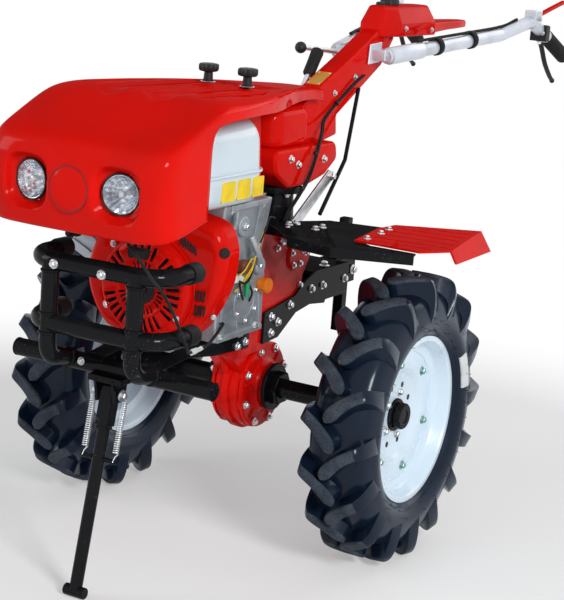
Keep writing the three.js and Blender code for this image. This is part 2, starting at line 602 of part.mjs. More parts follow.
// The U-shaped stay that the hood rests on, with the two knobs that clamp it.
const STAY_HALF = 62;
const STAY_WALL = 5;
const STAY_REAR = KNOB_Y + 21;
const STAY_TOP = roofHeight(STAY_REAR) - HOOD_WALL - SEAT;
function hoodStay() {
  const leg = [[-140, GEARBOX_TOP + SEAT], [-98, GEARBOX_TOP + SEAT], [STAY_REAR, STAY_TOP],
    [STAY_REAR - 42, STAY_TOP]];
  const legs = SIDES.map(([, side]) => mirrorX(sidePlate(leg, STAY_HALF - STAY_WALL, STAY_HALF), side));
  const feet = SIDES.map(([, side]) => mirrorX(block([GEARBOX_HALF_WIDTH - 18, -140, GEARBOX_TOP + SEAT],
    [STAY_HALF, -98, GEARBOX_TOP + SEAT + STAY_WALL]), side));
  const bridge = block([-STAY_HALF, STAY_REAR - 42, STAY_TOP - STAY_WALL], [STAY_HALF, STAY_REAR, STAY_TOP]);
  return join(bridge, ...legs, ...feet);
}
add('hood_stay', hoodStay(), RED);
for (const [name, side] of SIDES) {
  const foot = roofHeight(KNOB_Y - 12) + SEAT;
  const knob = turnedZ([[STAY_TOP + SEAT, 0], [STAY_TOP + SEAT, 4.5], [foot, 4.5], [foot, 12], [foot + 3, 12],
    [foot + 5, 9], [foot + 18, 9], [foot + 20, 20], [foot + 33, 20], [foot + 36, 14], [foot + 36, 0]],
  side * KNOB_X, KNOB_Y, 16);
  add(`hood_knob_${name}`, knob, BLACK);
}

// ---------------------------------------------------------------- column
const COLLAR_TOP = COLUMN_BASE_BOTTOM - SEAT;
add('turret', turnedZ([[GEARBOX_TOP + SEAT, 0], [GEARBOX_TOP + SEAT, 42], [COLLAR_TOP - 14, 38],
  [COLLAR_TOP - 14, 54], [COLLAR_TOP, 54], [COLLAR_TOP, 0]], 0, TURRET_Y, 24), BLACK);

// The V-shaped base over the turret, and the box-section column that rises from it.
const COLUMN_TOP_LINE = [[112, 869], [181, 899.5], [318, 957], [477, 1030], [508, 1037]];
function column() {
  const base = sidePlate([[-58, COLUMN_BASE_TOP], [-46, 736], [12, COLUMN_BASE_BOTTOM], [98, COLUMN_BASE_BOTTOM],
    [164, 716], [216, 746], [206, COLUMN_BASE_TOP]], -GEARBOX_HALF_WIDTH, GEARBOX_HALF_WIDTH);
  const beam = sidePlate([[112, COLUMN_BASE_TOP - 6], ...COLUMN_TOP_LINE, [508, 986], [456, 930], [259, 831],
    [266, 790], [200, COLUMN_BASE_TOP - 6]], -COLUMN_HALF_WIDTH, COLUMN_HALF_WIDTH);
  const pinHole = bar([-60, PIVOT_Y, PIVOT_Z], [60, PIVOT_Y, PIVOT_Z], PIVOT_PIN_RADIUS + 0.5, 24);
  return geometryOf(solid(base).add(solid(beam)).subtract(solid(pinHole)));
}
add('column', column(), RED);

const DOME_BOTTOM = COLUMN_BASE_TOP + SEAT;
add('column_dome', mirroredHull([[34, -28, DOME_BOTTOM], [34, 104, DOME_BOTTOM], [46, -38, 800], [46, 111, 800],
  [46, -38, 852], [46, 111, 852], [38, -20, 872], [38, 100, 872], [30, -34, 868], [30, 110, 868]]), RED);

// ---------------------------------------------------------------- console
// A pointed plastic cover that fits over the column's upper end.
function console() {
  const cover = mirroredHull([[27, 430, 1028], [27, 440, 995], [48, 492, 994], [48, 490, 1034], [48, 668, 992],
    [14, 934, 1000], [27, 430, 1034], [48, 668, 1022], [14, 932, 1022], [20, 450, 1058], [30, 500, 1060],
    [28, 660, 1057], [10, 884, 1052]]);
  const room = COLUMN_HALF_WIDTH + SEAT;
  const socket = sidePlate([[112, 820], ...COLUMN_TOP_LINE.map(([y, z]) => [y, z + SEAT]),
    [508 + 2 * SEAT, 1037], [508 + 2 * SEAT, 900], [300, 820]], -room, room);
  return cut(cover, socket);
}
add('console', console(), RED);
add('console_knob', turnedZ([[1060 + SEAT, 0], [1060 + SEAT, 22], [1076, 19], [1076, 0]], -6, 528, 20), BLACK);

// ---------------------------------------------------------------- handlebars
const LUG = 5;
const LUG_INNER = COLUMN_HALF_WIDTH + 1;
const GRIP_RADIUS = 18;
const BAR_CREST = V(186, 915, 1034);
const GRIP_START = V(192, 1000, 998);
const GRIP_END = V(202, 1118, 944);
const GRIP_AXIS = GRIP_END.clone().sub(GRIP_START).normalize();
const sided = (v, side) => [side * v.x, v.y, v.z];

function handlebar(side) {
  const corners = [[60, PIVOT_Y - 10, PIVOT_Z - 2], [150, 816, 1000], [BAR_CREST.x, BAR_CREST.y, BAR_CREST.z],
    [GRIP_START.x, GRIP_START.y, GRIP_START.z]].map(([x, y, z]) => [side * x, y, z]);
  const tip = sided(GRIP_END.clone().addScaledVector(GRIP_AXIS, -20), side);
  const run = tube(bends([...corners, tip], 40, 3), HANDLEBAR_RADIUS, 10);
  const lug = mirrorX(sidePlate([[PIVOT_Y - 26, PIVOT_Z - 22], [PIVOT_Y + 30, PIVOT_Z - 18],
    [PIVOT_Y + 34, PIVOT_Z + 26], [PIVOT_Y - 22, PIVOT_Z + 22]], LUG_INNER, LUG_INNER + LUG), side);
  const bridge = mirrorX(block([LUG_INNER + LUG - 1, PIVOT_Y - 18, PIVOT_Z - 12],
    [62, PIVOT_Y + 26, PIVOT_Z + 12]), side);
  const clamp = mirrorX(block([170, 906, 1020], [200, 952, 1062]), side);
  const pinHole = bar([-90, PIVOT_Y, PIVOT_Z], [90, PIVOT_Y, PIVOT_Z], PIVOT_PIN_RADIUS + SEAT, 24);
  return geometryOf(solid(run).add(solid(lug)).add(solid(bridge)).add(solid(clamp)).subtract(solid(pinHole)));
}

// A rubber grip, closed at its end, over the tip of the bar.
function grip(side) {
  const start = GRIP_START.clone().addScaledVector(GRIP_AXIS, 8);
  const outer = solid(bar(sided(start, side), sided(GRIP_END, side), GRIP_RADIUS, 16));
  const beyond = start.clone().addScaledVector(GRIP_AXIS, -5);
  const end = GRIP_END.clone().addScaledVector(GRIP_AXIS, -20 + SEAT);
  const hollow = solid(bar(sided(beyond, side), sided(end, side), HANDLEBAR_RADIUS + SEAT * 2, 24));
  return geometryOf(outer.subtract(hollow));
}

// The hand lever under each grip: its perch hangs from the bar, the blade follows the grip.
function clutchLever(side) {
  const perch = mirrorX(block([168, 956, 985], [214, 982, 1026]), side);
  const handle = bar(sided(BAR_CREST, side), sided(GRIP_START, side), HANDLEBAR_RADIUS + 2 * SEAT, 24);
  const blade = tube([[966, 992], [990, 966], [1020, 930], [1060, 898], [1084, 884]]
    .map(([y, z]) => V(side * 192, y, z)), 6.5, 8);
  return geometryOf(solid(perch).add(solid(blade)).subtract(solid(handle)));
}

// The cable from each hand lever, strapped along the top of the bar.
function leverCable(side) {
  const lift = HANDLEBAR_RADIUS + 6;
  const route = [[84, 500, 967 + lift], [117, 655, 982 + lift], [150, 812, 998 + lift], [168, 868, 1016 + lift]];
  return tube(route.map(([x, y, z]) => V(side * x, y, z)), 3.5, 8);
}

add('handlebar_pin', bar([-74, PIVOT_Y, PIVOT_Z], [74, PIVOT_Y, PIVOT_Z], PIVOT_PIN_RADIUS, 24), STEEL);
for (const [name, side] of SIDES) {
  add(`handlebar_${name}`, handlebar(side), STEEL);
  add(`grip_${name}`, grip(side), RUBBER);
  add(`clutch_lever_${name}`, clutchLever(side), BLACK);
  add(`lever_cable_${name}`, leverCable(side), CABLE);
}

// The red hand lever above the left grip.
add('throttle_lever', tube([V(186, 952 + SEAT, 1046), V(186, 962, 1046), V(196, 1092, 1078)], 7, 10), RED);

// ---------------------------------------------------------------- hand controls on the column
const LEVER_X = -41;
const LEVER_FOOT_Y = 138;
add('gear_lever', join(
  bar([LEVER_X, LEVER_FOOT_Y, COLUMN_BASE_TOP + SEAT], [LEVER_X, LEVER_FOOT_Y, COLUMN_BASE_TOP + 12], 12, 12),
  bar([LEVER_X, LEVER_FOOT_Y, COLUMN_BASE_TOP + 8], [LEVER_X, 270, 962], 6, 10),
  bar([LEVER_X, 234, 912], [LEVER_X, 272, 965], 14, 12)), RUBBER);
add('lock_lever', join(tube([V(-COLUMN_HALF_WIDTH - SEAT, 360, 956), V(-38, 360, 956), V(-52, 338, 959),
  V(-75, 262, 966)], 6, 8), new THREE.IcosahedronGeometry(13, 1).translate(-76, 256, 966)), BLACK);
add('linkage_lever', sidePlate([[-8, 616], [-18, 600], [-4, 588], [12, 596], [182, 702], [188, 716], [172, 728]],
  GEARBOX_HALF_WIDTH + SEAT, GEARBOX_HALF_WIDTH + SEAT + 6), STEEL);

// ---------------------------------------------------------------- fenders
const SHELF_FRONT = -72;
const SHELF_REAR = -9;
add('fender_bracket', block([-176, SHELF_FRONT, GEARBOX_TOP + SEAT],
  [176, SHELF_REAR, FENDER_Z - FENDER_PLATE - SEAT]), BLACK);

// The steel plate reaches out over the wheel and carries the ribbed plastic wing on top.
function fenderPlate(side) {
  const outline = [[60, -64], [148, -151], [255, -172], [400, -112], [396, -94], [300, -94], [262, -70],
    [250, 104], [120, 78], [72, 6], [60, 6]];
  const sheet = flatPlate(outline, FENDER_Z - FENDER_PLATE, FENDER_Z);
  const lip = flatPlate([[148, -151], [255, -172], [400, -112], [396, -101], [255, -160], [152, -141]],
    FENDER_Z - 20, FENDER_Z - 1);
  return mirrorX(join(sheet, lip), side);
}
function fenderWing(side) {
  const top = FENDER_Z + SEAT;
  const outline = [[262, -88], [402, -90], [441, -30], [398, 214], [245, 126], [238, 60]];
  const sheet = flatPlate(outline, top, top + FENDER_SHELL);
  const flange = orient(new ConvexGeometry([[441, -30, top], [441, -30, top + 4], [398, 214, top],
    [398, 214, top + 4], [452, -26, top - 22], [448, -26, top - 22], [424, 212, top - 34], [420, 212, top - 34],
    [437, -30, top], [394, 212, top]].map((p) => V(...p))));
  return mirrorX(join(sheet, flange), side);
}
for (const [name, side] of SIDES) {
  add(`fender_plate_${name}`, fenderPlate(side), BLACK);
  add(`fender_${name}`, fenderWing(side), RED);
}

// ---------------------------------------------------------------- rod, lead and cables
add('control_rod', tube([V(COLUMN_HALF_WIDTH + 5, 343, 885), V(60, 241, 742), V(84, 100, FENDER_Z + 5)], 4.5, 8), BLACK);
const along = (points, count) => new THREE.CatmullRomCurve3(points.map((p) => V(...p))).getPoints(count);
const LEAD = [[88, -598, 712], [93, -612, 682], [110, -614, 666], [127, -608, 643], [145, -606, 622],
  [159, -598, 604], [165, -577, 574], [168, -556, 541], [168, -534, 509], [162, -510, 487], [150, -485, 474],
  [145, -450, 470], [140, -410, 470], [132, -370, 478], [126, -340, 488], [120, -322, 492], [113, -322, 492]];
add('headlight_lead', tube(along(LEAD, 34), 3, 8), CABLE);

// Control cables, gathered along the left side of the column and down to the gearbox.
const CABLES = [[31, 356, 914], [29, 320, 898], [28, 270, 872], [28, 220, 846], [34, 180, 826], [52, 142, 808],
  [64, 110, 786], [70, 84, 752], [69, 62, 716], [64, 40, 688], [54, 22, 656], [50, 16, 636], [50, 16, GEARBOX_TOP + SEAT]];
add('control_cables', tube(along(CABLES, 34), 4, 8), CABLE);

// ---------------------------------------------------------------- origin
// The origin lies on the ground, in the middle of the machine's length and width.
const extent = new THREE.Box3().setFromObject(tractor, true);
tractor.position.set(0, -(extent.min.y + extent.max.y) / 2, -GROUND_Z);

export default tractor;
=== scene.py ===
"""A two-wheeled walking tractor: its looks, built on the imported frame. Metres, +Z up, front towards -Y."""
import json
import math
import random

import bmesh
import bpy
import numpy as np
from mathutils import Matrix, Vector


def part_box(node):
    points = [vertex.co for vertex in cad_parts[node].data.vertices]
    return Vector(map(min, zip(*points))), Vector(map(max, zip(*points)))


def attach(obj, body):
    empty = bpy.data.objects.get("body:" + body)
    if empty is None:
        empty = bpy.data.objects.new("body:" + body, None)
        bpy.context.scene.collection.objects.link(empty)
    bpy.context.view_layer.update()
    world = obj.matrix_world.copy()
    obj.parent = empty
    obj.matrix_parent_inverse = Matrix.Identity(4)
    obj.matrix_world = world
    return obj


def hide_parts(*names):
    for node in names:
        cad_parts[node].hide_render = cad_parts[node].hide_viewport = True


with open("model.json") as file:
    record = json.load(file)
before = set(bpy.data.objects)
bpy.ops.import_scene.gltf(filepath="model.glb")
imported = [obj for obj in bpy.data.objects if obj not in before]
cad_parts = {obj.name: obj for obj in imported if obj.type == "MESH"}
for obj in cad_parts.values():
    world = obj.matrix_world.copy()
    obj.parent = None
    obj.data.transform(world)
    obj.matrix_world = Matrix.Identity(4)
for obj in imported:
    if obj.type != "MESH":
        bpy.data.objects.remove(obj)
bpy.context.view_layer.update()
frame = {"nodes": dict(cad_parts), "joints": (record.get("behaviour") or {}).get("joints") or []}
random.seed(7)

# Pieces are drawn in millimetres, y from the axle line and z from the ground, and finished in metres.
SIDES = (("left", 1), ("right", -1))
JOINTS = {joint["name"]: Vector(joint["pos_m"]) for joint in frame["joints"]}
AXLE = JOINTS["wheel_roll"]
MM = 0.001
TO_FRAME = Matrix.Translation((0, AXLE.y, 0)) @ Matrix.Scale(MM, 4)
AXLE_Z = AXLE.z / MM


def place(x, y, z):
    """A point of the drawing, in the frame."""
    return TO_FRAME @ Vector((x, y, z))


# ---------------------------------------------------------------- camera and lamps
AZIMUTH, ELEVATION, ROLL = (math.radians(a) for a in (28.82, 12.93, 4.36))
FOCAL = 1701.7  # focal length, over a picture height of 600
PICTURE_HEIGHT = 600
SHIFT = (5.1, -2.6)
CAMERA_AT = (1690.3, -2975.6, 1258.2)


def aim_camera():
    camera = bpy.data.objects.new("camera", bpy.data.cameras.new("camera"))
    bpy.context.scene.collection.objects.link(camera)
    back = Vector((math.sin(AZIMUTH) * math.cos(ELEVATION), -math.cos(AZIMUTH) * math.cos(ELEVATION),
                   math.sin(ELEVATION)))
    right = Vector((math.cos(AZIMUTH), math.sin(AZIMUTH), 0))
    up = back.cross(right)
    rolled_right = right * math.cos(ROLL) + up * math.sin(ROLL)
    rolled_up = up * math.cos(ROLL) - right * math.sin(ROLL)
    axes = Matrix((rolled_right, rolled_up, back)).transposed().to_4x4()
    camera.matrix_world = Matrix.Translation(place(*CAMERA_AT)) @ axes
    camera.data.sensor_width = 36
    camera.data.lens = FOCAL / PICTURE_HEIGHT * camera.data.sensor_width
    camera.data.shift_x = SHIFT[0] / PICTURE_HEIGHT
    camera.data.shift_y = SHIFT[1] / PICTURE_HEIGHT
    camera.data.clip_end = 50
    bpy.context.scene.camera = camera


def lamp(name, at, towards, size, power):
    data = bpy.data.lights.new(name, "AREA")
    data.shape = "RECTANGLE"
    data.size, data.size_y = size
    data.energy = power
    piece = bpy.data.objects.new(name, data)
    bpy.context.scene.collection.objects.link(piece)
    piece.location = at
    piece.rotation_euler = (Vector(towards) - Vector(at)).to_track_quat("-Z", "Y").to_euler()


aim_camera()
bpy.context.scene.view_settings.view_transform = "Standard"
lamp("key", (3.3, -2.5, 2.3), (0, 0, 0.5), (1.0, 1.0), 112)
lamp("fill", (-3.2, -2.6, 1.8), (0, 0, 0.5), (1.4, 2.0), 38)
lamp("back", (1.2, 3.4, 2.8), (0, 0, 0.6), (3.2, 2.4), 32)
SKY_LIGHT = 0.34


# ---------------------------------------------------------------- shader toolkit
class Wire:
    """An output of a shader node, so that masks and heights are written as sums."""

    def __init__(self, nodes, socket):
        self.nodes = nodes
        self.socket = socket

    def _math(self, operation, *values):
        return self.nodes.node("ShaderNodeMath", {"operation": operation}, dict(enumerate(values)))

    def __add__(self, other):
        return self._math("ADD", self, other)

    def __rsub__(self, other):
        return self._math("SUBTRACT", other, self)

    def __mul__(self, other):
        return self._math("MULTIPLY", self, other)

    def __or__(self, other):
        return self._math("MAXIMUM", self, other)

    __radd__ = __add__
    __rmul__ = __mul__

    def step(self, low, high):
        """0 below low, 1 above high, smooth between; low may be the larger."""
        return self.nodes.node("ShaderNodeMapRange", {"interpolation_type": "SMOOTHSTEP"},
                               {"Value": self, "From Min": low, "From Max": high})


class Nodes:
    """A node tree that is filled by one method."""

    def __init__(self, tree):
        self.tree = tree

    def node(self, kind, settings=None, sockets=None, out=0):
        made = self.tree.nodes.new(kind)
        for name, value in (settings or {}).items():
            setattr(made, name, value)
        for name, value in (sockets or {}).items():
            self.feed(made.inputs[name], value)
        return Wire(self, made.outputs[out])

    def feed(self, socket, value):
        if isinstance(value, Wire):
            self.tree.links.new(value.socket, socket)
        elif socket.type == "RGBA":
            socket.default_value = (*value[:3], 1)
        else:
            socket.default_value = value

    def seen_straight(self):
        """1 for rays from the camera, off a mirror or through glass."""
        rays = [self.node("ShaderNodeLightPath", out=kind)
                for kind in ("Is Camera Ray", "Is Glossy Ray", "Is Transmission Ray")]
        return rays[0] | rays[1] | rays[2]


class Finish(Nodes):
    """A surface: one Principled shader, and what varies over it. Sizes are in metres."""

    def __init__(self, name, slot, color, **constants):
        self.material = bpy.data.materials.new(name)
        self.material.use_nodes = True
        super().__init__(self.material.node_tree)
        self.slot = slot
        self.shader = self.tree.nodes["Principled BSDF"]
        self.at = self.node("ShaderNodeTexCoord", out="Object")
        self.put(Base_Color=color, **constants)

    def put(self, **sockets):
        for name, value in sockets.items():
            self.feed(self.shader.inputs[name.replace("_", " ")], value)

    def noise(self, scale, detail=3.0, rough=0.5, stretch=(1, 1, 1)):
        """Cloudy noise from 0 to 1, with `scale` lumps to the metre."""
        at = self.node("ShaderNodeVectorMath", {"operation": "MULTIPLY"}, {0: self.at, 1: stretch})
        return self.node("ShaderNodeTexNoise", {}, {"Vector": at, "Scale": scale, "Detail": detail,
                                                    "Roughness": rough})

    def cells(self, scale, feature="F1"):
        return self.node("ShaderNodeTexVoronoi", {"feature": feature}, {"Vector": self.at, "Scale": scale})

    def mix(self, mask, low, high):
        return self.node("ShaderNodeMix", {"data_type": "RGBA"}, {0: mask, 6: low, 7: high}, out=2)

    def facing_up(self):
        """1 on what faces up, 0 on walls."""
        normal = self.node("ShaderNodeNewGeometry", out="Normal")
        return self.node("ShaderNodeSeparateXYZ", {}, {"Vector": normal}, out="Z").step(0.35, 0.9)

    def bump(self, height, depth):
        """Raises the surface by `depth` metres where `height` is 1."""
        self.put(Normal=self.node("ShaderNodeBump", {}, {"Height": height, "Distance": depth}))


# ---------------------------------------------------------------- white studio
def white_sky():
    world = bpy.data.worlds.new("studio")
    world.use_nodes = True
    bpy.context.scene.world = world
    sky = Nodes(world.node_tree)
    soft = sky.node("ShaderNodeBackground", {}, {"Color": (1, 1, 1), "Strength": SKY_LIGHT})
    white = sky.node("ShaderNodeBackground", {}, {"Color": (1, 1, 1), "Strength": 1.0})
    both = sky.node("ShaderNodeMixShader", {}, {0: sky.seen_straight(), 1: soft, 2: white})
    sky.feed(world.node_tree.nodes["World Output"].inputs["Surface"], both)


FLOOR_SIZE = 12
FLOOR_EDGE = (0.6, 1.7)  # the floor takes shadows out to here, and fades into the white beyond
NEAR_WHITE = 0.3  # how much of the white shows near the machine; the shadow stays in the rest


def pale_floor():
    bpy.ops.mesh.primitive_plane_add(size=FLOOR_SIZE)
    floor = bpy.context.object
    floor.name = "floor"
    paint = Finish("pale_floor", None, (0.96, 0.96, 0.96), Roughness=0.9, Specular_IOR_Level=0.1)
    straight = paint.seen_straight()
    away = paint.node("ShaderNodeVectorMath", {"operation": "LENGTH"}, {0: paint.at}, out="Value")
    far = away.step(*FLOOR_EDGE)
    glow = paint.node("ShaderNodeEmission", {}, {"Color": (1, 1, 1), "Strength": 1.0})
    lit = Wire(paint, paint.shader.outputs[0])
    ground = paint.node("ShaderNodeMixShader", {}, {0: (far | NEAR_WHITE) * straight, 1: lit, 2: glow})
    paint.feed(paint.tree.nodes["Material Output"].inputs["Surface"], ground)
    floor.data.materials.append(paint.material)


white_sky()
pale_floor()


# ---------------------------------------------------------------- finishes
RED = (0.72, 0.005, 0.002)
# a darker red: random streaks on the castings, and painted shade in the badge's groove
DEEP_RED = (0.36, 0.004, 0.003)
BLACK = (0.007, 0.0075, 0.009)
DUST = (0.16, 0.15, 0.14)
ZINC = (0.62, 0.64, 0.66)
BARE_STEEL = (0.25, 0.26, 0.27)
LACQUER = 1.3  # refractive index of the clear coats
FINE_PEEL = 0.00012  # depths of surface grain, in metres
FINER_PEEL = 0.0001


def glossy_red(name, slot, peel):
    """Sprayed or moulded red under a clear coat, with a fine orange peel."""
    paint = Finish(name, slot, RED, Roughness=0.4, Coat_Roughness=0.04, Coat_IOR=LACQUER,
                   Specular_IOR_Level=0.0)
    cloud = paint.noise(5, 2)
    paint.put(Base_Color=paint.mix(cloud.step(0.35, 0.75), RED, (0.6, 0.006, 0.003)))
    wiped = 0.34 - 0.14 * paint.noise(30, 3).step(0.5, 0.8)
    paint.put(Coat_Weight=wiped * (1 - 0.85 * paint.facing_up()))
    paint.bump(paint.noise(peel, 2), FINE_PEEL)
    return paint


def cast_red():
    """Red enamel over rough castings, thin and darker in the hollows."""
    paint = Finish("cast_red", "casting_paint", RED, Roughness=0.3, Coat_Roughness=0.1, Coat_IOR=LACQUER,
                   Specular_IOR_Level=0.04)
    grain = paint.noise(320, 4, 0.6)
    streak = paint.noise(22, 4)
    paint.put(Base_Color=paint.mix(streak.step(0.45, 0.8), RED, DEEP_RED),
              Roughness=0.26 + 0.3 * streak.step(0.4, 0.8), Coat_Weight=0.4 - 0.3 * streak)
    paint.bump(grain + 0.6 * paint.noise(90, 2), 0.0003)
    return paint


def black_coat(name, slot, gloss, scuffed):
    """Black stove enamel: bare scratches, a film of dust on what faces up."""
    paint = Finish(name, slot, BLACK, Roughness=gloss, Coat_Roughness=0.08, Coat_IOR=LACQUER,
                   Specular_IOR_Level=0.0)
    scratch = paint.noise(30, 6, 0.72, (1, 1, 3)).step(0.66 - scuffed, 0.72 - scuffed * 0.6)
    specks = paint.cells(160).step(0.16, 0.05) * paint.noise(9, 2).step(0.5, 0.62)
    worn = scratch * 0.22 | specks * 0.7
    up = paint.facing_up()
    dust = up * paint.noise(18, 4).step(0.35, 0.8) * 0.06
    base = paint.mix(dust, BLACK, DUST)
    paint.put(Base_Color=paint.mix(worn, base, BARE_STEEL), Roughness=gloss + 0.35 * (worn | dust),
              Coat_Weight=(0.5 - 0.5 * worn) * (1 - 0.95 * up))
    paint.bump(paint.noise(260, 2), FINE_PEEL)
    return paint


def rim_enamel():
    """Pale blue-white enamel, a little grimy."""
    paint = Finish("rim_enamel", "rim_paint", (0.72, 0.8, 0.87), Roughness=0.3, Coat_Weight=0.4,
                   Coat_Roughness=0.1)
    grime = paint.noise(16, 5, 0.6).step(0.52, 0.85)
    paint.put(Base_Color=paint.mix(grime, (0.66, 0.79, 0.9), (0.46, 0.56, 0.64)),
              Roughness=0.26 + 0.25 * grime)
    paint.bump(paint.noise(220, 2), FINER_PEEL)
    return paint


def tank_enamel():
    """Pale grey enamel with a faint cloud in it."""
    paint = Finish("tank_enamel", "tank_paint", (0.6, 0.68, 0.7), Roughness=0.3, Coat_Weight=0.5,
                   Coat_Roughness=0.08)
    cloud = paint.noise(7, 3)
    paint.put(Base_Color=paint.mix(cloud.step(0.4, 0.8), (0.57, 0.68, 0.75), (0.5, 0.6, 0.67)),
              Roughness=0.26 + 0.12 * cloud)
    paint.bump(paint.noise(300, 2), FINER_PEEL)
    return paint


def bar_silver():
    """Pale silver lacquer on the handlebars: fine flake under a clear coat."""
    paint = Finish("bar_silver", "bar_paint", (0.62, 0.66, 0.74), Coat_Roughness=0.12, Coat_Weight=0.5)
    flake = paint.cells(1400)
    smear = paint.noise(14, 4)
    paint.put(Base_Color=paint.mix(smear.step(0.45, 0.8), (0.66, 0.7, 0.78), (0.48, 0.52, 0.58)),
              Metallic=0.25 + 0.3 * flake, Roughness=0.34 + 0.15 * smear)
    paint.bump(paint.noise(260, 2), FINER_PEEL)
    return paint


LUG_TOP = 0.2835  # from the axle: only the tops of the lugs lie further out
BLUE_BLACK = (0.006, 0.012, 0.024)
# painted sheen: a blue tint on the rubber's reflections and coat
PAINTED_BLUE_SHEEN = (0.62, 0.8, 1.0, 1.0)


def tyre_rubber():
    """New blue-black rubber, its reflections tinted blue as a painted sheen; the lug tops are dusty grey and
    dull.
    """
    rubber = Finish("tyre_rubber", "tyre_rubber", BLUE_BLACK, Specular_IOR_Level=0.06, Specular_Tint=PAINTED_BLUE_SHEEN,
                    Coat_IOR=1.35, Coat_Roughness=0.14, Coat_Tint=PAINTED_BLUE_SHEEN)
    from_axle = rubber.node("ShaderNodeVectorMath", {"operation": "SUBTRACT"}, {0: rubber.at, 1: AXLE})
    across = rubber.node("ShaderNodeVectorMath", {"operation": "MULTIPLY"}, {0: from_axle, 1: (0, 1, 1)})
    radius = rubber.node("ShaderNodeVectorMath", {"operation": "LENGTH"}, {0: across}, out="Value")
    top = radius.step(LUG_TOP - 0.0015, LUG_TOP + 0.001)
    speck = rubber.noise(420, 4, 0.7)
    blotch = rubber.noise(30, 4)
    dusty = top * (0.55 + 0.6 * blotch.step(0.3, 0.7)) * speck.step(0.25, 0.6)
    film = rubber.noise(12, 5, 0.65).step(0.5, 0.8) * 0.12
    rubber.put(Base_Color=rubber.mix(dusty | film, BLUE_BLACK, (0.075, 0.088, 0.108)),
               Roughness=0.25 + 0.45 * top + 0.25 * film + 0.1 * blotch,
               Coat_Weight=0.6 * (1 - (top | film)))
    rubber.bump(rubber.noise(500, 3) + 0.5 * blotch, 0.00035)
    return rubber


def soft_rubber(name, slot):
    rubber = Finish(name, slot, (0.01, 0.01, 0.011), Specular_IOR_Level=0.18)
    haze = rubber.noise(25, 4)
    rubber.put(Base_Color=rubber.mix(haze.step(0.4, 0.9), (0.008, 0.008, 0.009), (0.026, 0.026, 0.027)),
               Roughness=0.55 + 0.2 * haze)
    rubber.bump(rubber.noise(420, 3), 0.0003)
    return rubber


def zinc_plate(name, slot, color=ZINC):
    """Bright plated steel with a faint mottle."""
    metal = Finish(name, slot, color, Metallic=0.95)
    mottle = metal.noise(60, 4)
    metal.put(Base_Color=metal.mix(mottle.step(0.4, 0.8), color, tuple(0.68 * c for c in color)),
              Roughness=0.26 + 0.2 * mottle)
    metal.bump(metal.noise(300, 3), FINER_PEEL)
    return metal


def cast_alloy():
    """Die-cast engine metal: silvery, sandy and a little oily."""
    metal = Finish("cast_alloy", "cast_alloy", (0.34, 0.37, 0.4), Metallic=0.55)
    grain = metal.noise(380, 4, 0.65)
    oil = metal.noise(14, 5, 0.6)
    metal.put(Base_Color=metal.mix(oil.step(0.42, 0.78), (0.36, 0.4, 0.44), (0.17, 0.19, 0.21)),
              Roughness=0.36 + 0.25 * grain)
    metal.bump(grain + 0.5 * metal.noise(120, 2), 0.0006)
    return metal


def plastic(name, slot, color, grain=520, rough=0.42):
    """Moulded plastic with a fine spark-eroded grain."""
    moulded = Finish(name, slot, color, Specular_IOR_Level=0.25)
    texture = moulded.noise(grain, 3)
    cloud = moulded.noise(20, 3).step(0.4, 0.8)
    moulded.put(Base_Color=moulded.mix(cloud, color, tuple(0.75 * c for c in color)),
                Roughness=rough + 0.15 * texture)
    moulded.bump(texture, 0.00018)
    return moulded


def mirror_chrome():
    """The lamp's reflector, its colour painted with bright spots and darker rings between them: a painted
    reflection of facets.
    """
    metal = Finish("mirror_chrome", "lamp_glass", (0.86, 0.9, 0.95), Metallic=1.0)
    # painted reflection: cells lighten spots and darken the rings between them, like facets catching light
    metal.put(Roughness=0.08 + 0.1 * metal.noise(200, 3),
              Base_Color=metal.mix(metal.cells(120).step(0.1, 0.7), (0.9, 0.93, 0.97), (0.5, 0.54, 0.6)))
    return metal


def lamp_glass():
    glass = Finish("lamp_glass", "lamp_glass", (1, 1, 1), Transmission_Weight=1.0, IOR=1.25)
    glass.put(Roughness=0.02 + 0.04 * glass.noise(150, 2))
    glass.bump(glass.cells(190), 0.0004)
    return glass


HOOD_RED = glossy_red("hood_red", "hood_plastic", 150)
FENDER_RED = glossy_red("wing_red", "hood_plastic", 220)
LEVER_RED = glossy_red("lever_red", "red_plastic", 300)
ENGINE_RED = glossy_red("engine_red", "engine_paint", 260)
COLUMN_RED = glossy_red("column_red", "casting_paint", 240)
CAST_RED = cast_red()
FRAME_BLACK = black_coat("frame_black", "frame_paint", 0.3, 0.02)
BUMPER_BLACK = black_coat("bumper_black", "bumper_paint", 0.16, 0.04)
RIM_WHITE = rim_enamel()
TANK_GREY = tank_enamel()
BAR_SILVER = bar_silver()
TYRE = tyre_rubber()
GRIP_RUBBER = soft_rubber("grip_rubber", "grip_rubber")
CORD_RUBBER = soft_rubber("cord_rubber", "cable_sheath")
STEEL = zinc_plate("zinc_steel", "zinc_steel")
GREEN_ZINC = zinc_plate("green_zinc", "zinc_steel", (0.3, 0.46, 0.42))
ALLOY = cast_alloy()
BLACK_PLASTIC = plastic("black_plastic", "black_plastic", (0.014, 0.014, 0.016))
ORANGE_PLASTIC = plastic("orange_plastic", "orange_plastic", (0.85, 0.2, 0.01))
WHITE_PLASTIC = plastic("white_plastic", None, (0.66, 0.7, 0.7))
YELLOW_SHEATH = plastic("yellow_sheath", None, (0.75, 0.5, 0.02))
YELLOW_PLATE = plastic("yellow_plate", None, (0.85, 0.62, 0.02), 900, 0.3)
GREEN_SHEATH = plastic("green_sheath", None, (0.01, 0.3, 0.12))
AMBER_PLATE = plastic("amber_plate", None, (0.62, 0.26, 0.015), 900, 0.3)
CHROME = mirror_chrome()
GLASS = lamp_glass()


# ---------------------------------------------------------------- shape toolkit
def unit(v):
    return Vector(v).normalized()


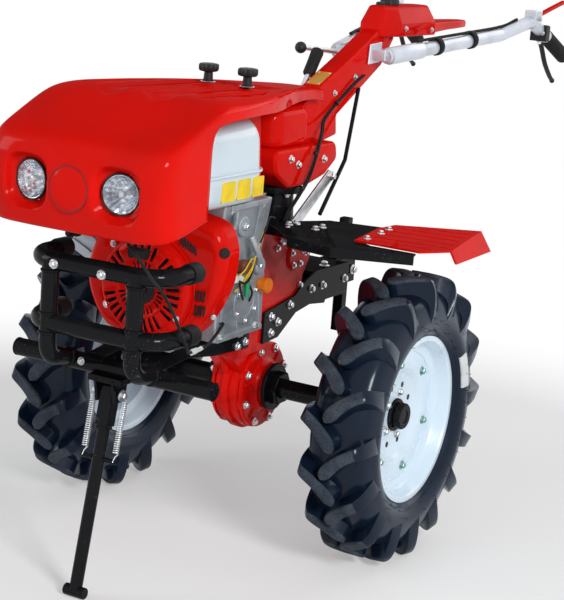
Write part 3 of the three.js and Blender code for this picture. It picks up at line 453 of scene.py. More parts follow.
def around(count, start=0.0):
    """Cosine and sine of places evenly round a circle, from a start in degrees."""
    angles = [math.radians(start + 360 * k / count) for k in range(count)]
    return [(math.cos(a), math.sin(a)) for a in angles]


def quarter(steps, first=0):
    """Even steps through a quarter turn."""
    return [math.pi / 2 * k / steps for k in range(first, steps + 1)]


def oval(wide, tall, sides):
    """A flat oval, as a profile to sweep."""
    return [(wide * c, tall * s) for c, s in around(sides)]


def drawn_box(node):
    """The low and high corners of a CAD piece, in the drawing."""
    return [TO_FRAME.inverted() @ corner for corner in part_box(node)]


def square_to(direction):
    """Two unit vectors square to a direction."""
    helper = Vector((0, 0, 1)) if abs(direction.z) < 0.9 else Vector((1, 0, 0))
    first = direction.cross(helper).normalized()
    return first, direction.cross(first)


NEARLY_STRAIGHT = 1.56  # half the angle at a corner, above which it needs no arc


def rounded_path(corners, bend, steps=8):
    """Straight runs between corners, with an arc at each corner."""
    points = [Vector(c) for c in corners]
    path = [points[0]]
    for before, here, after in zip(points, points[1:], points[2:]):
        back, on = (before - here).normalized(), (after - here).normalized()
        half = back.angle(on) / 2
        if half > NEARLY_STRAIGHT:
            path.append(here)
            continue
        setback = bend / math.tan(half)
        centre = here + (back + on).normalized() * bend / math.sin(half)
        start, end = here + back * setback, here + on * setback
        for k in range(steps + 1):
            chord = start.lerp(end, k / steps) - centre
            path.append(centre + chord.normalized() * bend)
    path.append(points[-1])
    return path


def smooth_path(points, per_span=6):
    """A Catmull-Rom curve through the points."""
    knots = [Vector(p) for p in points]
    knots = [2 * knots[0] - knots[1], *knots, 2 * knots[-1] - knots[-2]]
    path = []
    for a, b, c, d in zip(knots, knots[1:], knots[2:], knots[3:]):
        for k in range(per_span):
            t = k / per_span
            path.append(0.5 * (2 * b + (c - a) * t + (2 * a - 5 * b + 4 * c - d) * t * t
                               + (3 * b - a - 3 * c + d) * t ** 3))
    path.append(knots[-2])
    return path


def spline_weights(controls, samples):
    """Weights of a clamped cubic B-spline: one row for each sample."""
    spans = controls - 3
    knots = np.concatenate([np.zeros(3), np.arange(spans + 1), np.full(3, spans)])
    at = np.clip(np.linspace(0, spans, samples), 0, spans - 1e-9)
    weights = ((knots[:-1] <= at[:, None]) & (at[:, None] < knots[1:])).astype(float)
    for degree in range(1, 4):
        low, high = knots[:-degree - 1], knots[degree + 1:]
        rise, fall = knots[degree:-1] - knots[:-degree - 1], knots[degree + 1:] - knots[1:-degree]
        up = np.divide(at[:, None] - low, rise, out=np.zeros((samples, len(rise))), where=rise > 0)
        down = np.divide(high - at[:, None], fall, out=np.zeros((samples, len(fall))), where=fall > 0)
        weights = up * weights[:, :-1] + down * weights[:, 1:]
    return weights


def rounded_outline(x0, x1, y0, y1, radius, steps=8):
    """A rectangle with round corners, anticlockwise."""
    centres = ((x1 - radius, y0 + radius), (x1 - radius, y1 - radius),
               (x0 + radius, y1 - radius), (x0 + radius, y0 + radius))
    outline = []
    for quarter, (x, y) in enumerate(centres):
        for k in range(steps + 1):
            angle = math.pi / 2 * (quarter - 1 + k / steps)
            outline.append((x + radius * math.cos(angle), y + radius * math.sin(angle)))
    return outline


def closed_smooth(points, per_span=6):
    """A closed smooth outline through flat points."""
    looped = [Vector((*p, 0)) for p in (*points[-1:], *points, *points[:2])]
    path = smooth_path(looped, per_span)
    return [(p.x, p.y) for p in path[per_span:-per_span * 2]][:per_span * len(points)]


def inset(outline, distance):
    """A flat outline drawn in by a distance, each point along its own normal."""
    count = len(outline)
    points = [Vector(p) for p in outline]
    drawn_in = []
    for i, here in enumerate(points):
        along = points[(i + 1) % count] - points[i - 1]
        inward = Vector((-along.y, along.x)).normalized()
        drawn_in.append(tuple(here + inward * distance))
    return drawn_in


def rounded_corners(corners, radius, steps=5):
    """A closed flat outline with its corners rounded, anticlockwise."""
    points = [Vector(c) for c in corners]
    turning = sum(a.x * b.y - a.y * b.x for a, b in zip(points, points[1:] + points[:1]))
    if turning < 0:
        points.reverse()
    outline = []
    for i, here in enumerate(points):
        back, on = points[i - 1] - here, points[(i + 1) % len(points)] - here
        setback = min(radius / math.tan(back.angle(on) / 2), 0.45 * back.length, 0.45 * on.length)
        start, end = here + back.normalized() * setback, here + on.normalized() * setback
        for k in range(steps + 1):
            t = k / steps
            outline.append(tuple(start * (1 - t) ** 2 + here * 2 * t * (1 - t) + end * t * t))
    return outline


def laid(axis, a, b, depth):
    """A point of a flat outline, at a depth along an axis."""
    return {"x": (depth, a, b), "y": (a, depth, b), "z": (a, b, depth)}[axis]


HEX_CORNER = 0.577  # from the middle of a hexagon to its corner, of its width over the flats
AXIS_GAP = 0.001  # keeps the points on an axis apart until the piece is made


class Shape:
    """A mesh under construction; several solids may lie in one shape."""

    def __init__(self):
        self.bm = bmesh.new()

    def verts(self, points):
        return [self.bm.verts.new(p) for p in points]

    def face(self, verts):
        try:
            return self.bm.faces.new(verts)
        except ValueError:
            return None

    def rings(self, rings, closed=True, caps=True):
        """Joins rings of points into a skin; closed rings may be capped."""
        made = [self.verts(ring) for ring in rings]
        count = len(made[0])
        for low, high in zip(made, made[1:]):
            for i in range(count if closed else count - 1):
                k = (i + 1) % count
                self.face((low[i], low[k], high[k], high[i]))
        if closed and caps:
            self.face(made[0][::-1])
            self.face(made[-1])
        return self

    def box(self, low, high):
        return self.prism("z", [(low[0], low[1]), (high[0], low[1]), (high[0], high[1]), (low[0], high[1])],
                          low[2], high[2])

    def prism(self, axis, outline, low, high):
        """A flat outline, pushed along an axis."""
        return self.layered(axis, [(outline, low), (outline, high)])

    def layered(self, axis, layers):
        """Outlines of the same count at places along an axis, joined into a skin."""
        return self.rings([[laid(axis, *p, depth) for p in outline] for outline, depth in layers])

    def cushion(self, axis, outline, low, high, edge, steps=4):
        """A flat outline with thickness, its rims rounded."""
        rims = [(inset(outline, edge * (1 - math.sin(a))), edge * (1 - math.cos(a))) for a in quarter(steps)]
        return self.layered(axis, [(rim, low + deep) for rim, deep in rims]
                            + [(rim, high - deep) for rim, deep in rims[::-1]])

    def sweep(self, path, profile):
        """A profile of (side, up) points carried along a path without twist."""
        path = [Vector(p) for p in path]
        steps = [(b - a).normalized() for a, b in zip(path, path[1:])]
        ways = [steps[0], *((a + b).normalized() for a, b in zip(steps, steps[1:])), steps[-1]]
        side, _ = square_to(ways[0])
        rings = []
        for point, way in zip(path, ways):
            side = (side - way * side.dot(way)).normalized()
            up = way.cross(side)
            rings.append([point + side * a + up * b for a, b in profile])
        return self.rings(rings)

    def tube(self, path, radius, sides=20):
        return self.sweep(path, oval(radius, radius, sides))

    def turned(self, at, axis, profile, sides=32, closed=False):
        """Turned work: (along, radius) points about an axis through a place."""
        at, axis = Vector(at), unit(axis)
        first, second = square_to(axis)
        outward = [first * c + second * s for c, s in around(sides)]
        rings = [[at + axis * along + out * max(radius, AXIS_GAP) for out in outward]
                 for along, radius in profile]
        if closed:
            return self.rings([*rings, rings[0]], caps=False)
        return self.rings(rings)

    def fluted(self, axis, at, profile, period, teeth, depth, low, high):
        """Turned work with grooves as deep as `depth` between two places, low and high, along its axis."""
        circle = [(k % period < period / 2, c, s) for k, (c, s) in enumerate(around(period * teeth))]
        layers = []
        for along, radius in profile:
            groove = depth if low < along < high else 0
            layers.append(([(at[0] + (radius - groove * cut) * c, at[1] + (radius - groove * cut) * s)
                            for cut, c, s in circle], along))
        return self.layered(axis, layers)

    def ball(self, at, radius, sides=20):
        arc = [math.pi * k / 12 for k in range(13)]
        return self.turned(at, (0, 0, 1), [(-radius * math.cos(a), radius * math.sin(a)) for a in arc], sides)

    def slab(self, side, outline, near, far):
        """A (y, z) outline pushed along x, between two distances from the middle plane."""
        return self.prism("x", outline, *sorted((side * near, side * far)))

    def bolt(self, at, axis, size):
        """A washer and a hexagon head with a domed crown; size is across the flats."""
        at, axis = Vector(at), unit(axis)
        washer = size * 0.85
        self.turned(at, axis, [(-1, washer), (1.2, washer), (1.8, washer - 0.8), (1.8, size * 0.5)], 20)
        corner = size * HEX_CORNER
        tall = size * 0.62
        self.turned(at, axis, [(1.6, corner), (tall, corner), (tall + size * 0.1, corner * 0.84)], 6)
        return self.turned(at, axis, [(tall, corner * 0.72), (tall + size * 0.16, corner * 0.66)], 16)

    def moved(self, matrix):
        self.bm.transform(matrix)
        return self

    def piece(self, name, body, finish, nodes=(), bevel=0.0, segments=3, crease=35.0, solid=0.0):
        """The finished object: in metres, riding on its body, with its finish."""
        bmesh.ops.remove_doubles(self.bm, verts=self.bm.verts[:], dist=0.01)
        bmesh.ops.recalc_face_normals(self.bm, faces=self.bm.faces[:])
        self.bm.transform(TO_FRAME)
        mesh = bpy.data.meshes.new(name)
        self.bm.to_mesh(mesh)
        self.bm.free()
        return finished(mesh, name, body, finish, nodes, bevel, segments, crease, solid)


def finished(mesh, name, body, finish, nodes, bevel, segments, crease, solid=0.0):
    """Puts a mesh into the scene: its edges, its body, its nodes and its finish."""
    piece = bpy.data.objects.new(name, mesh)
    bpy.context.scene.collection.objects.link(piece)
    mesh.materials.append(finish.material)
    mesh.polygons.foreach_set("use_smooth", [True] * len(mesh.polygons))
    if solid:
        wall = piece.modifiers.new("wall", "SOLIDIFY")
        wall.thickness = solid * MM
        wall.offset = -1
    if bevel:
        edge = piece.modifiers.new("edge", "BEVEL")
        edge.width = bevel * MM
        edge.segments = segments
        edge.limit_method = "ANGLE"
        edge.angle_limit = math.radians(crease)
        piece.modifiers.new("even", "WEIGHTED_NORMAL")
    else:
        mesh.set_sharp_from_angle(angle=math.radians(crease))
    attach(piece, body)
    if nodes:
        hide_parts(*nodes)
    return piece


def softened(node, finish, width, crease=28.0):
    """The CAD solid itself with rounded edges, standing for its node."""
    bm = bmesh.new()
    bm.from_mesh(frame["nodes"][node].data)
    bmesh.ops.remove_doubles(bm, verts=bm.verts[:], dist=0.0001)
    bmesh.ops.dissolve_limit(bm, angle_limit=math.radians(1), verts=bm.verts[:], edges=bm.edges[:])
    bmesh.ops.recalc_face_normals(bm, faces=bm.faces[:])
    mesh = bpy.data.meshes.new(node)
    bm.to_mesh(mesh)
    bm.free()
    return finished(mesh, f"{node}_cast", "chassis", finish, (node,), width, 3, crease)


def bolted(name, body, finish, heads):
    """Bolts as one piece: the place, axis and size of each."""
    bolts = Shape()
    for at, axis, size in heads:
        bolts.bolt(at, axis, size)
    return bolts.piece(name, body, finish, crease=30)


# ---------------------------------------------------------------- wheels
TRACK_HALF = sum(corner.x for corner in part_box("tyre_left")) / 2 / MM
LUGS = 16  # in each of the two rows
WHISKERS = 70  # left by the mould on each tyre
TREAD_SIDES = 128
WALL_BAND = (189, 212)  # the plain white mark on the outer wall, in degrees from the front downward
CROWN = 262  # radius of the tread between the lugs
WALL = 70  # half width of the tyre at its widest
CARCASS = ((0, CROWN), (26, CROWN - 1), (44, CROWN - 6), (56, 247), (63, 232), (67, 216), (WALL, 204),
           (67, 190), (60, 179), (52, 172), (47.5, 169), (47, 160), (36, 158.5))


def axle_point(side, x, radius, angle):
    """A point of a wheel: x outward from the wheel's middle, angle from the front downward."""
    return Vector((side * (TRACK_HALF + x), -radius * math.cos(angle), AXLE_Z - radius * math.sin(angle)))


# A lug from its nose on the middle line to its foot on the sidewall:
# (x outward, carcass radius, top radius, turn in degrees, half width of its top)
LUG_LINE = ((-9, CROWN - 3, 289.4, 13.2, 2), (-8, CROWN - 3, 289.6, 12.6, 8), (-4, CROWN - 3, 289.8, 11.2, 12),
            (3, CROWN - 3, 289.8, 9.2, 13), (13, CROWN - 3, 289.8, 7.0, 11.5),
            (26, CROWN - 4, 289.5, 4.6, 10.5),
            (40, CROWN - 7, 289, 2.7, 10.5), (51, 250, 286.5, 1.4, 11), (59, 240, 281, 0.6, 12),
            (64.5, 228, 270, 0.1, 13), (67.5, 216, 254, -0.2, 14), (68.5, 204, 238, -0.4, 15),
            (68.5, 196, 222, -0.5, 16))
DRAFT = 5.5  # how much wider a lug is at its foot


def lug(shape, side, row, turn):
    """One lug; row is 1 for those that run outward and -1 for those that run inward."""
    count = 26
    weights = spline_weights(len(LUG_LINE), count)
    line = weights @ np.array(LUG_LINE, float)
    middle = [axle_point(side, row * x, (base + top) / 2, math.radians(angle) + turn)
              for x, base, top, angle, _ in line]
    rings = []
    for i, (x, base, top, angle, half) in enumerate(line):
        along = (middle[min(i + 1, count - 1)] - middle[max(i - 1, 0)]).normalized()
        turned_by = math.radians(angle) + turn
        lean = min(max((x - 46) / 28, 0), 1)  # from radial on the tread to sideways on the wall
        foot = axle_point(side, row * (x - 6 * lean), base - 4, turned_by)
        crest = axle_point(side, row * (x + 1.5 * lean), top, turned_by)
        up = (crest - foot).normalized()
        across = along.cross(up).normalized()
        wide = half + DRAFT
        rings.append([foot - across * wide, foot.lerp(crest, 0.72) - across * (half + DRAFT * 0.25),
                      crest - up * 1.2 - across * half, crest - across * (half - 1.6),
                      crest + across * (half - 1.6), crest - up * 1.2 + across * half,
                      foot.lerp(crest, 0.72) + across * (half + DRAFT * 0.25), foot + across * wide])
    shape.rings(rings)


def tyre(name, side):
    weights = spline_weights(len(CARCASS), 30)
    profile = [tuple(p) for p in weights @ np.array(CARCASS, float)]
    lining = [(30, 166), (60, 190), (64, 214), (52, 240), (0, 254)]
    whole = [(-x, r) for x, r in profile[::-1]] + profile[1:]
    whole += lining + [(-x, r) for x, r in lining[-2::-1]]
    shape = Shape()
    shape.turned((side * TRACK_HALF, 0, AXLE_Z), (side, 0, 0), whole, TREAD_SIDES, closed=True)
    pitch = 2 * math.pi / LUGS
    for k in range(LUGS):
        lug(shape, side, 1, k * pitch)
        lug(shape, side, -1, (k + 0.5) * pitch)
    for radius, x in ((178, 57), (184, 61.5)):  # rim guard lines
        line = [(-2, radius + 2), (1.4, radius + 1), (1.4, radius - 1), (-2, radius - 2)]
        for face in (1, -1):
            shape.turned((side * (TRACK_HALF + face * x), 0, AXLE_Z), (face * side, 0, 0), line, TREAD_SIDES,
                         closed=True)
    for _ in range(WHISKERS):
        angle = random.uniform(0, 2 * math.pi)
        x, radius = random.choice(((60, 180), (68, 198), (68, 210), (48, 256)))
        root = axle_point(side, x - 1, radius, angle)
        tip = axle_point(side, x + 6, radius + random.uniform(-5, 6), angle + random.uniform(-0.03, 0.03))
        shape.tube([root, root.lerp(tip, 0.6), tip], 0.55, 4)
    shape.piece(f"tyre_{name}_treaded", "wheels", TYRE, (f"tyre_{name}",), crease=38)
    start, end = WALL_BAND
    angles = [math.radians(start + (end - start) * k / 16) for k in range(17)]
    section = ((60, 184), (66.6, 184), (70.6, 194), (71.8, 204), (62, 204))
    band = Shape()
    band.rings([[axle_point(side, x, radius, angle) for x, radius in section] for angle in angles])
    band.piece(f"wall_band_{name}", "wheels", WHITE_PLASTIC, bevel=1.0)


RIM_BOLTS = 6
RIM_BOLT_TURN = 43
HUB_BOLTS = 5


def rim(name, side):
    """A drop-centre rim: rolled flanges, bead seats, a well and a stepped disc."""
    outer = [(51, 166), (50.2, 168.4), (48.4, 168.4), (47.4, 166), (47, 160), (44, 158), (24, 154), (18, 148),
             (15, 136), (-15, 136), (-18, 148), (-24, 154), (-44, 158), (-47, 160), (-47.4, 166),
             (-48.4, 168.4), (-50.2, 168.4), (-51, 166)]
    inner = [(-50, 158), (-46, 154.5), (-26, 151), (-21, 146), (-18, 132), (4, 131), (9, 126), (11.5, 121),
             (12, 100), (10, 94), (1, 88), (-2, 84), (-2, 28), (2, 28), (2, 82), (5, 86), (14, 93), (16, 100),
             (15.5, 122), (15, 131), (18, 132), (21, 146), (26, 151), (46, 154.5), (50, 158)]
    shape = Shape()
    centre = (side * TRACK_HALF, 0, AXLE_Z)
    shape.turned(centre, (side, 0, 0), outer + inner, 120, closed=True)
    shape.piece(f"rim_{name}_pressed", "wheels", RIM_WHITE, (f"rim_{name}",), crease=40)

    heads = []
    for k in range(RIM_BOLTS):
        angle = math.radians(RIM_BOLT_TURN + 360 / RIM_BOLTS * k)
        heads += [(axle_point(side, x, 112, angle), (way, 0, 0), 11) for x, way in ((15.5, side), (11, -side))]
    bolted(f"rim_bolts_{name}", "wheels", GREEN_ZINC, heads)

    # painted shade: flat black discs stand for the disc's holes, where the dark inside would show
    holes = Shape()
    for k in range(8):
        angle = math.radians(22.5 + 45 * k)
        holes.turned(axle_point(side, 1.2, 62, angle), (side, 0, 0), [(0, 6), (1.1, 6), (1.2, 5)], 20)
    holes.piece(f"disc_holes_painted_shade_{name}", "wheels", BLACK_PLASTIC, crease=30)


def axle():
    """Tube axle, hub sleeves with their flanges, and the capped ends."""
    reach = TRACK_HALF - 66
    shape = Shape()
    shape.turned((0, 0, AXLE_Z), (1, 0, 0), [(-reach, 19), (-reach, 20.4), (reach, 20.4), (reach, 19)], 48)
    for _, side in SIDES:
        base = (side * TRACK_HALF, 0, AXLE_Z)
        out = (side, 0, 0)
        shape.turned(base, out, [(-66, 20), (-66, 25), (-64, 26.4), (-20, 26.4), (-17, 31), (-16.5, 60),
                                 (-15, 61.8), (-7.5, 61.8), (-6.4, 60), (-6.3, 27), (2, 26.4), (3, 26.4)], 48)
        shape.turned(base, out, [(2, 33), (7, 33), (8.5, 31.5), (8.5, 22)], 48)
        shape.turned(base, out, [(8, 22), (12, 22), (12, 26.4), (23, 26.4), (25.8, 24), (25.8, 14), (23.6, 12),
                                 (23.6, 0)], 48)
    shape.piece("axle_and_hubs", "wheels", FRAME_BLACK, ("axle",), crease=32)
    studs = Shape()
    for _, side in SIDES:
        for k in range(HUB_BOLTS):
            studs.bolt(axle_point(side, 2, 46, math.radians(36 + 360 / HUB_BOLTS * k)), (side, 0, 0), 10)
        pin = axle_point(side, -46, 0, 0)
        studs.tube([pin + Vector((0, -34, 0)), pin + Vector((0, 34, 0))], 4.5, 12)
        studs.bolt(pin + Vector((0, -28, 0)), (0, -1, 0), 12)
    studs.piece("hub_studs", "wheels", STEEL, crease=30)


for wheel_name, wheel_side in SIDES:
    tyre(wheel_name, wheel_side)
    rim(wheel_name, wheel_side)
axle()


# ---------------------------------------------------------------- hood
LAMP_X = 94.5
LAMP_Z = 768
POCKET = (38, 50)  # half size of a lamp pocket at its floor and at its lip
POCKET_DEPTH = 21
LAMP_HOLE = 36.5
HOOD_WALL = 3.5  # thickened inward

HOOD_SAMPLES = (190, 150)  # rows and columns of the finished skin

# Rows of the hood's skin, from its lower front edge over the top to its tail: the middle (y, z), the free
# side edge (y, z), half width there, distance of the shoulder from the middle, fall to the shoulder, and
# the height of the side wall under it (both as shares of the way from edge to middle).
HOOD_ROWS = (
    ((-652, 690), (-515, 722), 190, 150, 0.03, 0.62),
    ((-660, 712), (-515, 735), 190, 150, 0.03, 0.64),
    ((-664, 750), (-515, 760), 190, 150, 0.03, 0.66),
    ((-664, 800), (-515, 790), 190, 150, 0.03, 0.68),
    ((-661, 838), (-515, 815), 190, 150, 0.04, 0.68),
    ((-640, 856), (-515, 835), 190, 150, 0.06, 0.66),
    ((-600, 871), (-514, 855), 190, 150, 0.07, 0.62),
    ((-540, 896), (-508, 873), 190, 150, 0.08, 0.50),
    ((-480, 921), (-492, 884), 190, 148, 0.06, 0.36),
    ((-440, 926), (-465, 888), 190, 148, 0.04, 0.24),
    ((-380, 923.5), (-400, 891), 188, 148, 0.03, 0.16),
    ((-310, 921.5), (-320, 890), 172, 146, 0.03, 0.14),
    ((-230, 919.5), (-235, 885), 152, 134, 0.03, 0.14),
    ((-150, 917.5), (-150, 884), 124, 112, 0.04, 0.14),
    ((-80, 915), (-80, 884), 98, 88, 0.05, 0.14),
    ((0, 910), (0, 884), 74, 66, 0.06, 0.16),
    ((80, 904.5), (80, 882), 57, 49, 0.06, 0.18),
    ((140, 900), (140, 874), 48, 40, 0.06, 0.2),
    ((149, 896), (149, 872), 46, 38, 0.06, 0.2),
    ((149.5, 884), (149.5, 870), 45, 36, 0.06, 0.2),
)


def hood_columns(middle, edge, half, shoulder, fall, wall):
    """One half row of control points, from the middle to the free edge."""
    middle = Vector((0, *middle))
    edge = Vector((half, *edge))

    def at(x, share):
        point = edge.lerp(middle, share)
        return Vector((x, point.y, point.z))

    return [at(0, 1), at(shoulder * 0.42, 1), at(shoulder * 0.8, 1 - fall * 0.3), at(shoulder + 6, 1 - fall),
            at(half, 1 - fall - (1 - wall) * 0.35), at(half, wall * 0.8), at(half, wall * 0.35), at(half, 0)]


def ease(value, low, high):
    """0 below low and 1 above high, smooth between."""
    t = min(max((value - low) / (high - low), 0.0), 1.0)
    return t * t * (3 - 2 * t)


def pocket(point):
    """How deep the lamp pockets press the front in at a point."""
    if point.y > -560:
        return 0.0
    reach = ((abs(abs(point.x) - LAMP_X)) ** 3.2 + abs(point.z - LAMP_Z) ** 3.2) ** (1 / 3.2)
    return POCKET_DEPTH * (1 - ease(reach, *POCKET))


def roof_press(point):
    """How deep the roof's pressed panels lie at a point."""
    x, y = abs(point.x), point.y
    if y < -560 or y > -60:
        return 0.0
    nose = -505 + 0.9 * abs(x - 52)
    flank = 0.02 * (y + 300)
    panel = ease(y, nose, nose + 12) * ease(-y, 96, 108) * ease(-x, -84 - flank, -74 - flank)
    ribs = sum(ease(-abs(x - at), -9, -5) for at in (0, 30))
    ribs *= ease(y, -470, -440) * ease(-y, 130, 150)
    out = x - 100
    notch = ease(x, 100, 106) * ease(-x, -138, -130) * ease(y, -440 - 0.5 * out, -426 - 0.5 * out)
    notch *= ease(-y, 165 + 2.2 * out, 200 + 2.2 * out)
    return 5.0 * panel * (1 - 0.8 * min(ribs, 1)) + 4.5 * notch


def hood():
    half = [hood_columns(*row) for row in HOOD_ROWS]
    net = np.array([[tuple(p) for p in row] for row in half])
    mirror = net[:, :0:-1] * np.array([-1, 1, 1])
    net = np.concatenate([mirror, net], axis=1)
    rows, columns = (spline_weights(*sizes) for sizes in zip(net.shape, HOOD_SAMPLES))
    skin = np.einsum("ri,ijk,cj->rck", rows, net, columns)
    grid = [[Vector(p) for p in row] for row in skin]
    for row in grid:
        for point in row:
            point.y += pocket(point)
            point.z -= roof_press(point)
    shape = Shape()
    shape.rings(grid, closed=False, caps=False)
    for face in list(shape.bm.faces):
        at = face.calc_center_median()
        if at.y < -600 and math.hypot(abs(at.x) - LAMP_X, at.z - LAMP_Z) < LAMP_HOLE:
            shape.bm.faces.remove(face)
    shape.piece("hood_moulding", "chassis", HOOD_RED, ("hood",), crease=60, solid=HOOD_WALL)


def badge():
    """The blank round badge between the lamps, in its groove."""
    centre = (0, -664, 766)
    # painted shade: the groove's ring is coloured darker red where shade falls in it
    ring = Shape()
    ring.turned(centre, (0, -1, 0), [(-2, 41.4), (0.2, 41.4), (0.9, 40.4), (0.3, 37), (-2, 37)], 72, closed=True)
    ring.piece("badge_groove", "chassis", plastic("badge_groove_painted_shade", "hood_plastic", DEEP_RED), crease=40)
    disc = Shape()
    disc.turned(centre, (0, -1, 0), [(-2, 37), (0.2, 37), (0.9, 35.5), (1.0, 20), (1.0, 0)], 72)
    disc.piece("badge_blank", "chassis", HOOD_RED, crease=40)


LENS_Y = drawn_box("headlight_left")[0].y  # the lens's foremost point
LAMP_SHARE = 0.88  # of the CAD lamp's size
LAMP_OUTWARD = 0.14


def headlight(name, side):
    """A faceted reflector under a domed clear lens, in a black ring that is painted shade for the gap round the
    lens.
    """
    centre = Vector((side * LAMP_X, LENS_Y, LAMP_Z))
    ahead = (side * LAMP_OUTWARD, -1, 0)

    def scaled(profile):
        return [(along * LAMP_SHARE, radius * LAMP_SHARE) for along, radius in profile]

    bowl = Shape()
    facets = 20
    profile = [(-38, 5), (-37, 12), (-32, 19), (-25, 25), (-17, 31), (-8, 36), (-6, 37.2)]
    back = [(-40, 5), (-39, 13), (-34, 21), (-27, 28), (-18, 34), (-9, 38), (-6, 38)]
    bowl.turned(centre, ahead, scaled(profile + back[::-1]), facets, closed=True)
    for face in bowl.bm.faces:
        middle = face.calc_center_median()
        for vert in face.verts:
            vert.co += (middle - vert.co) * random.uniform(0.0, 0.06)
    reflector = bowl.piece(f"headlight_reflector_{name}", "chassis", CHROME, (f"headlight_{name}",), crease=4)
    reflector.data.polygons.foreach_set("use_smooth", [False] * len(reflector.data.polygons))
    bulb = Shape()
    bulb.turned(centre, ahead, scaled([(-39, 5), (-20, 5), (-17, 7), (-12, 7), (-9, 5), (-8, 0)]), 24)
    bulb.piece(f"headlight_bulb_{name}", "chassis", STEEL, crease=30)
    lens = Shape()
    outer = [(-6, 38), (-5, 38), (-3.2, 33), (-1.6, 24), (-0.5, 12), (0, 0)]
    inner = [(-7, 38), (-7, 35.5), (-5, 31), (-3.4, 22), (-2.4, 12), (-2, 0)]
    lens.turned(centre, ahead, scaled(outer[::-1] + inner), 48)
    lens.piece(f"headlight_lens_{name}", "chassis", GLASS, crease=50)
    # painted shade: a black ring fills the gap round the lens, where shadow falls
    ring = Shape()
    lip = [(-22, 38), (-22, 41.5), (-6, 41.5), (-4.4, 40.6), (-4.4, 38.4), (-6, 38)]
    ring.turned(centre, ahead, scaled(lip), 48, closed=True)
    ring.piece(f"headlight_gap_painted_shade_{name}", "chassis", BLACK_PLASTIC, crease=40)


KNOB_LOBES = 8
KNOB_POINTS = 96
KNOB_RADIUS = 20


def hood_knob(name, side):
    """A lobed black hand knob with its neck and washer."""
    low, high = drawn_box(f"hood_knob_{name}")
    x, y, top = side * 44, (low.y + high.y) / 2, high.z
    shape = Shape()
    shape.turned((x, y, top), (0, 0, 1), [(-59, 4.5), (-36, 4.5), (-36, 12), (-33, 12), (-32.5, 9.5),
                                          (-18, 8.4), (-16, 12), (-15, 12)], 32)
    rings = []
    for lift, share in ((-17, 0.7), (-15.5, 0.93), (-12, 1.0), (-5, 1.0), (-2.2, 0.93), (-1.2, 0.72),
                        (-1.6, 0.45), (-2.4, 0.2)):
        ring = []
        for k, (c, s) in enumerate(around(KNOB_POINTS)):
            wave = 0.5 - 0.5 * math.cos(2 * math.pi * KNOB_LOBES * k / KNOB_POINTS)
            reach = KNOB_RADIUS * share * (1 - 0.13 * wave ** 1.5 * share)
            ring.append((x + reach * c, y + reach * s, top + lift))
        rings.append(ring)
    shape.rings(rings)
    shape.piece(f"star_knob_{name}", "chassis", BLACK_PLASTIC, (f"hood_knob_{name}",), crease=32)
    washer = Shape()
    washer.turned((x, y, top), (0, 0, 1), [(-37, 6), (-37, 14), (-36, 14.6), (-35.4, 14), (-35.2, 6)], 32)
    washer.piece(f"knob_washer_{name}", "chassis", STEEL, crease=32)


hood()
badge()
for lamp_name, lamp_side in SIDES:
    headlight(lamp_name, lamp_side)
    hood_knob(lamp_name, lamp_side)
softened("hood_stay", COLUMN_RED, 2.0)


# ---------------------------------------------------------------- engine
CRANK_Z = 556
RISE = math.radians(25)


def on_cylinder(reach, across):
    """A point (x, z) measured along the leaning cylinder and across it."""
    return (-reach * math.cos(RISE) + across * math.sin(RISE),
            CRANK_Z + reach * math.sin(RISE) + across * math.cos(RISE))


def crankcase():
    softened("engine_block", ALLOY, 5.0)
    shape = Shape()
    foot = [(-98, 454.2), (116, 454.2), (116, 462), (108, 472), (-92, 472), (-98, 462)]
    shape.prism("y", foot, -330, -166)
    rib = [(100, 470), (117, 470), (116.5, 500), (112.5, 540), (100, 548)]
    for y, width in ((-318, 12), (-262, 7), (-206, 7), (-178, 12)):
        shape.prism("y", rib, y - width / 2, y + width / 2)
    for y0, y1 in ((-300, -288), (-212, -200)):  # the web that carries the tank
        shape.prism("y", [(88, 600), (104, 596), (120, 700), (120, 715), (96, 715)], y0, y1)
    shape.box((60, -318, 704), (121, -184, 715.4))
    for at, boss, sides in (((100, -258, 668), [(0, 20), (14, 20), (16, 18), (16, 0)], 32),
                            ((104, -236, 520), [(0, 44), (11, 44), (13, 42), (13, 30), (11, 28), (11, 0)], 48),
                            ((104, -196, 584), [(0, 17), (16, 17), (18, 15), (18, 0)], 32),
                            ((104, -296, 560), [(0, 22), (9, 22), (11, 20), (11, 0)], 32)):
        shape.turned(at, (1, 0, 0), boss, sides)
    shape.tube(smooth_path([(118, -205, 590), (128, -216, 604), (127, -232, 626), (120, -242, 648)]), 6.5, 16)
    shape.tube(smooth_path([(114, -292, 700), (122, -306, 690), (128, -318, 680), (130, -326, 672)]), 5.5, 16)
    shape.piece("crankcase_ribs", "chassis", ALLOY, bevel=1.6, segments=2, crease=30)
    heads = [((116.6, -236 + 37 * c, 520 + 37 * s), (1, 0, 0), 7) for c, s in around(6, 30)]
    heads += [((x, y, 463), (0, 0, 1), 12) for y in (-318, -190) for x in (112, -92)]
    heads += [((117, y, z), (1, 0, 0), 9) for y, z in ((-258, 668), (-196, 584))]
    heads += [((112, y, 703), (0, 0, -1), 9) for y in (-306, -194)]
    bolted("crankcase_bolts", "chassis", STEEL, heads)


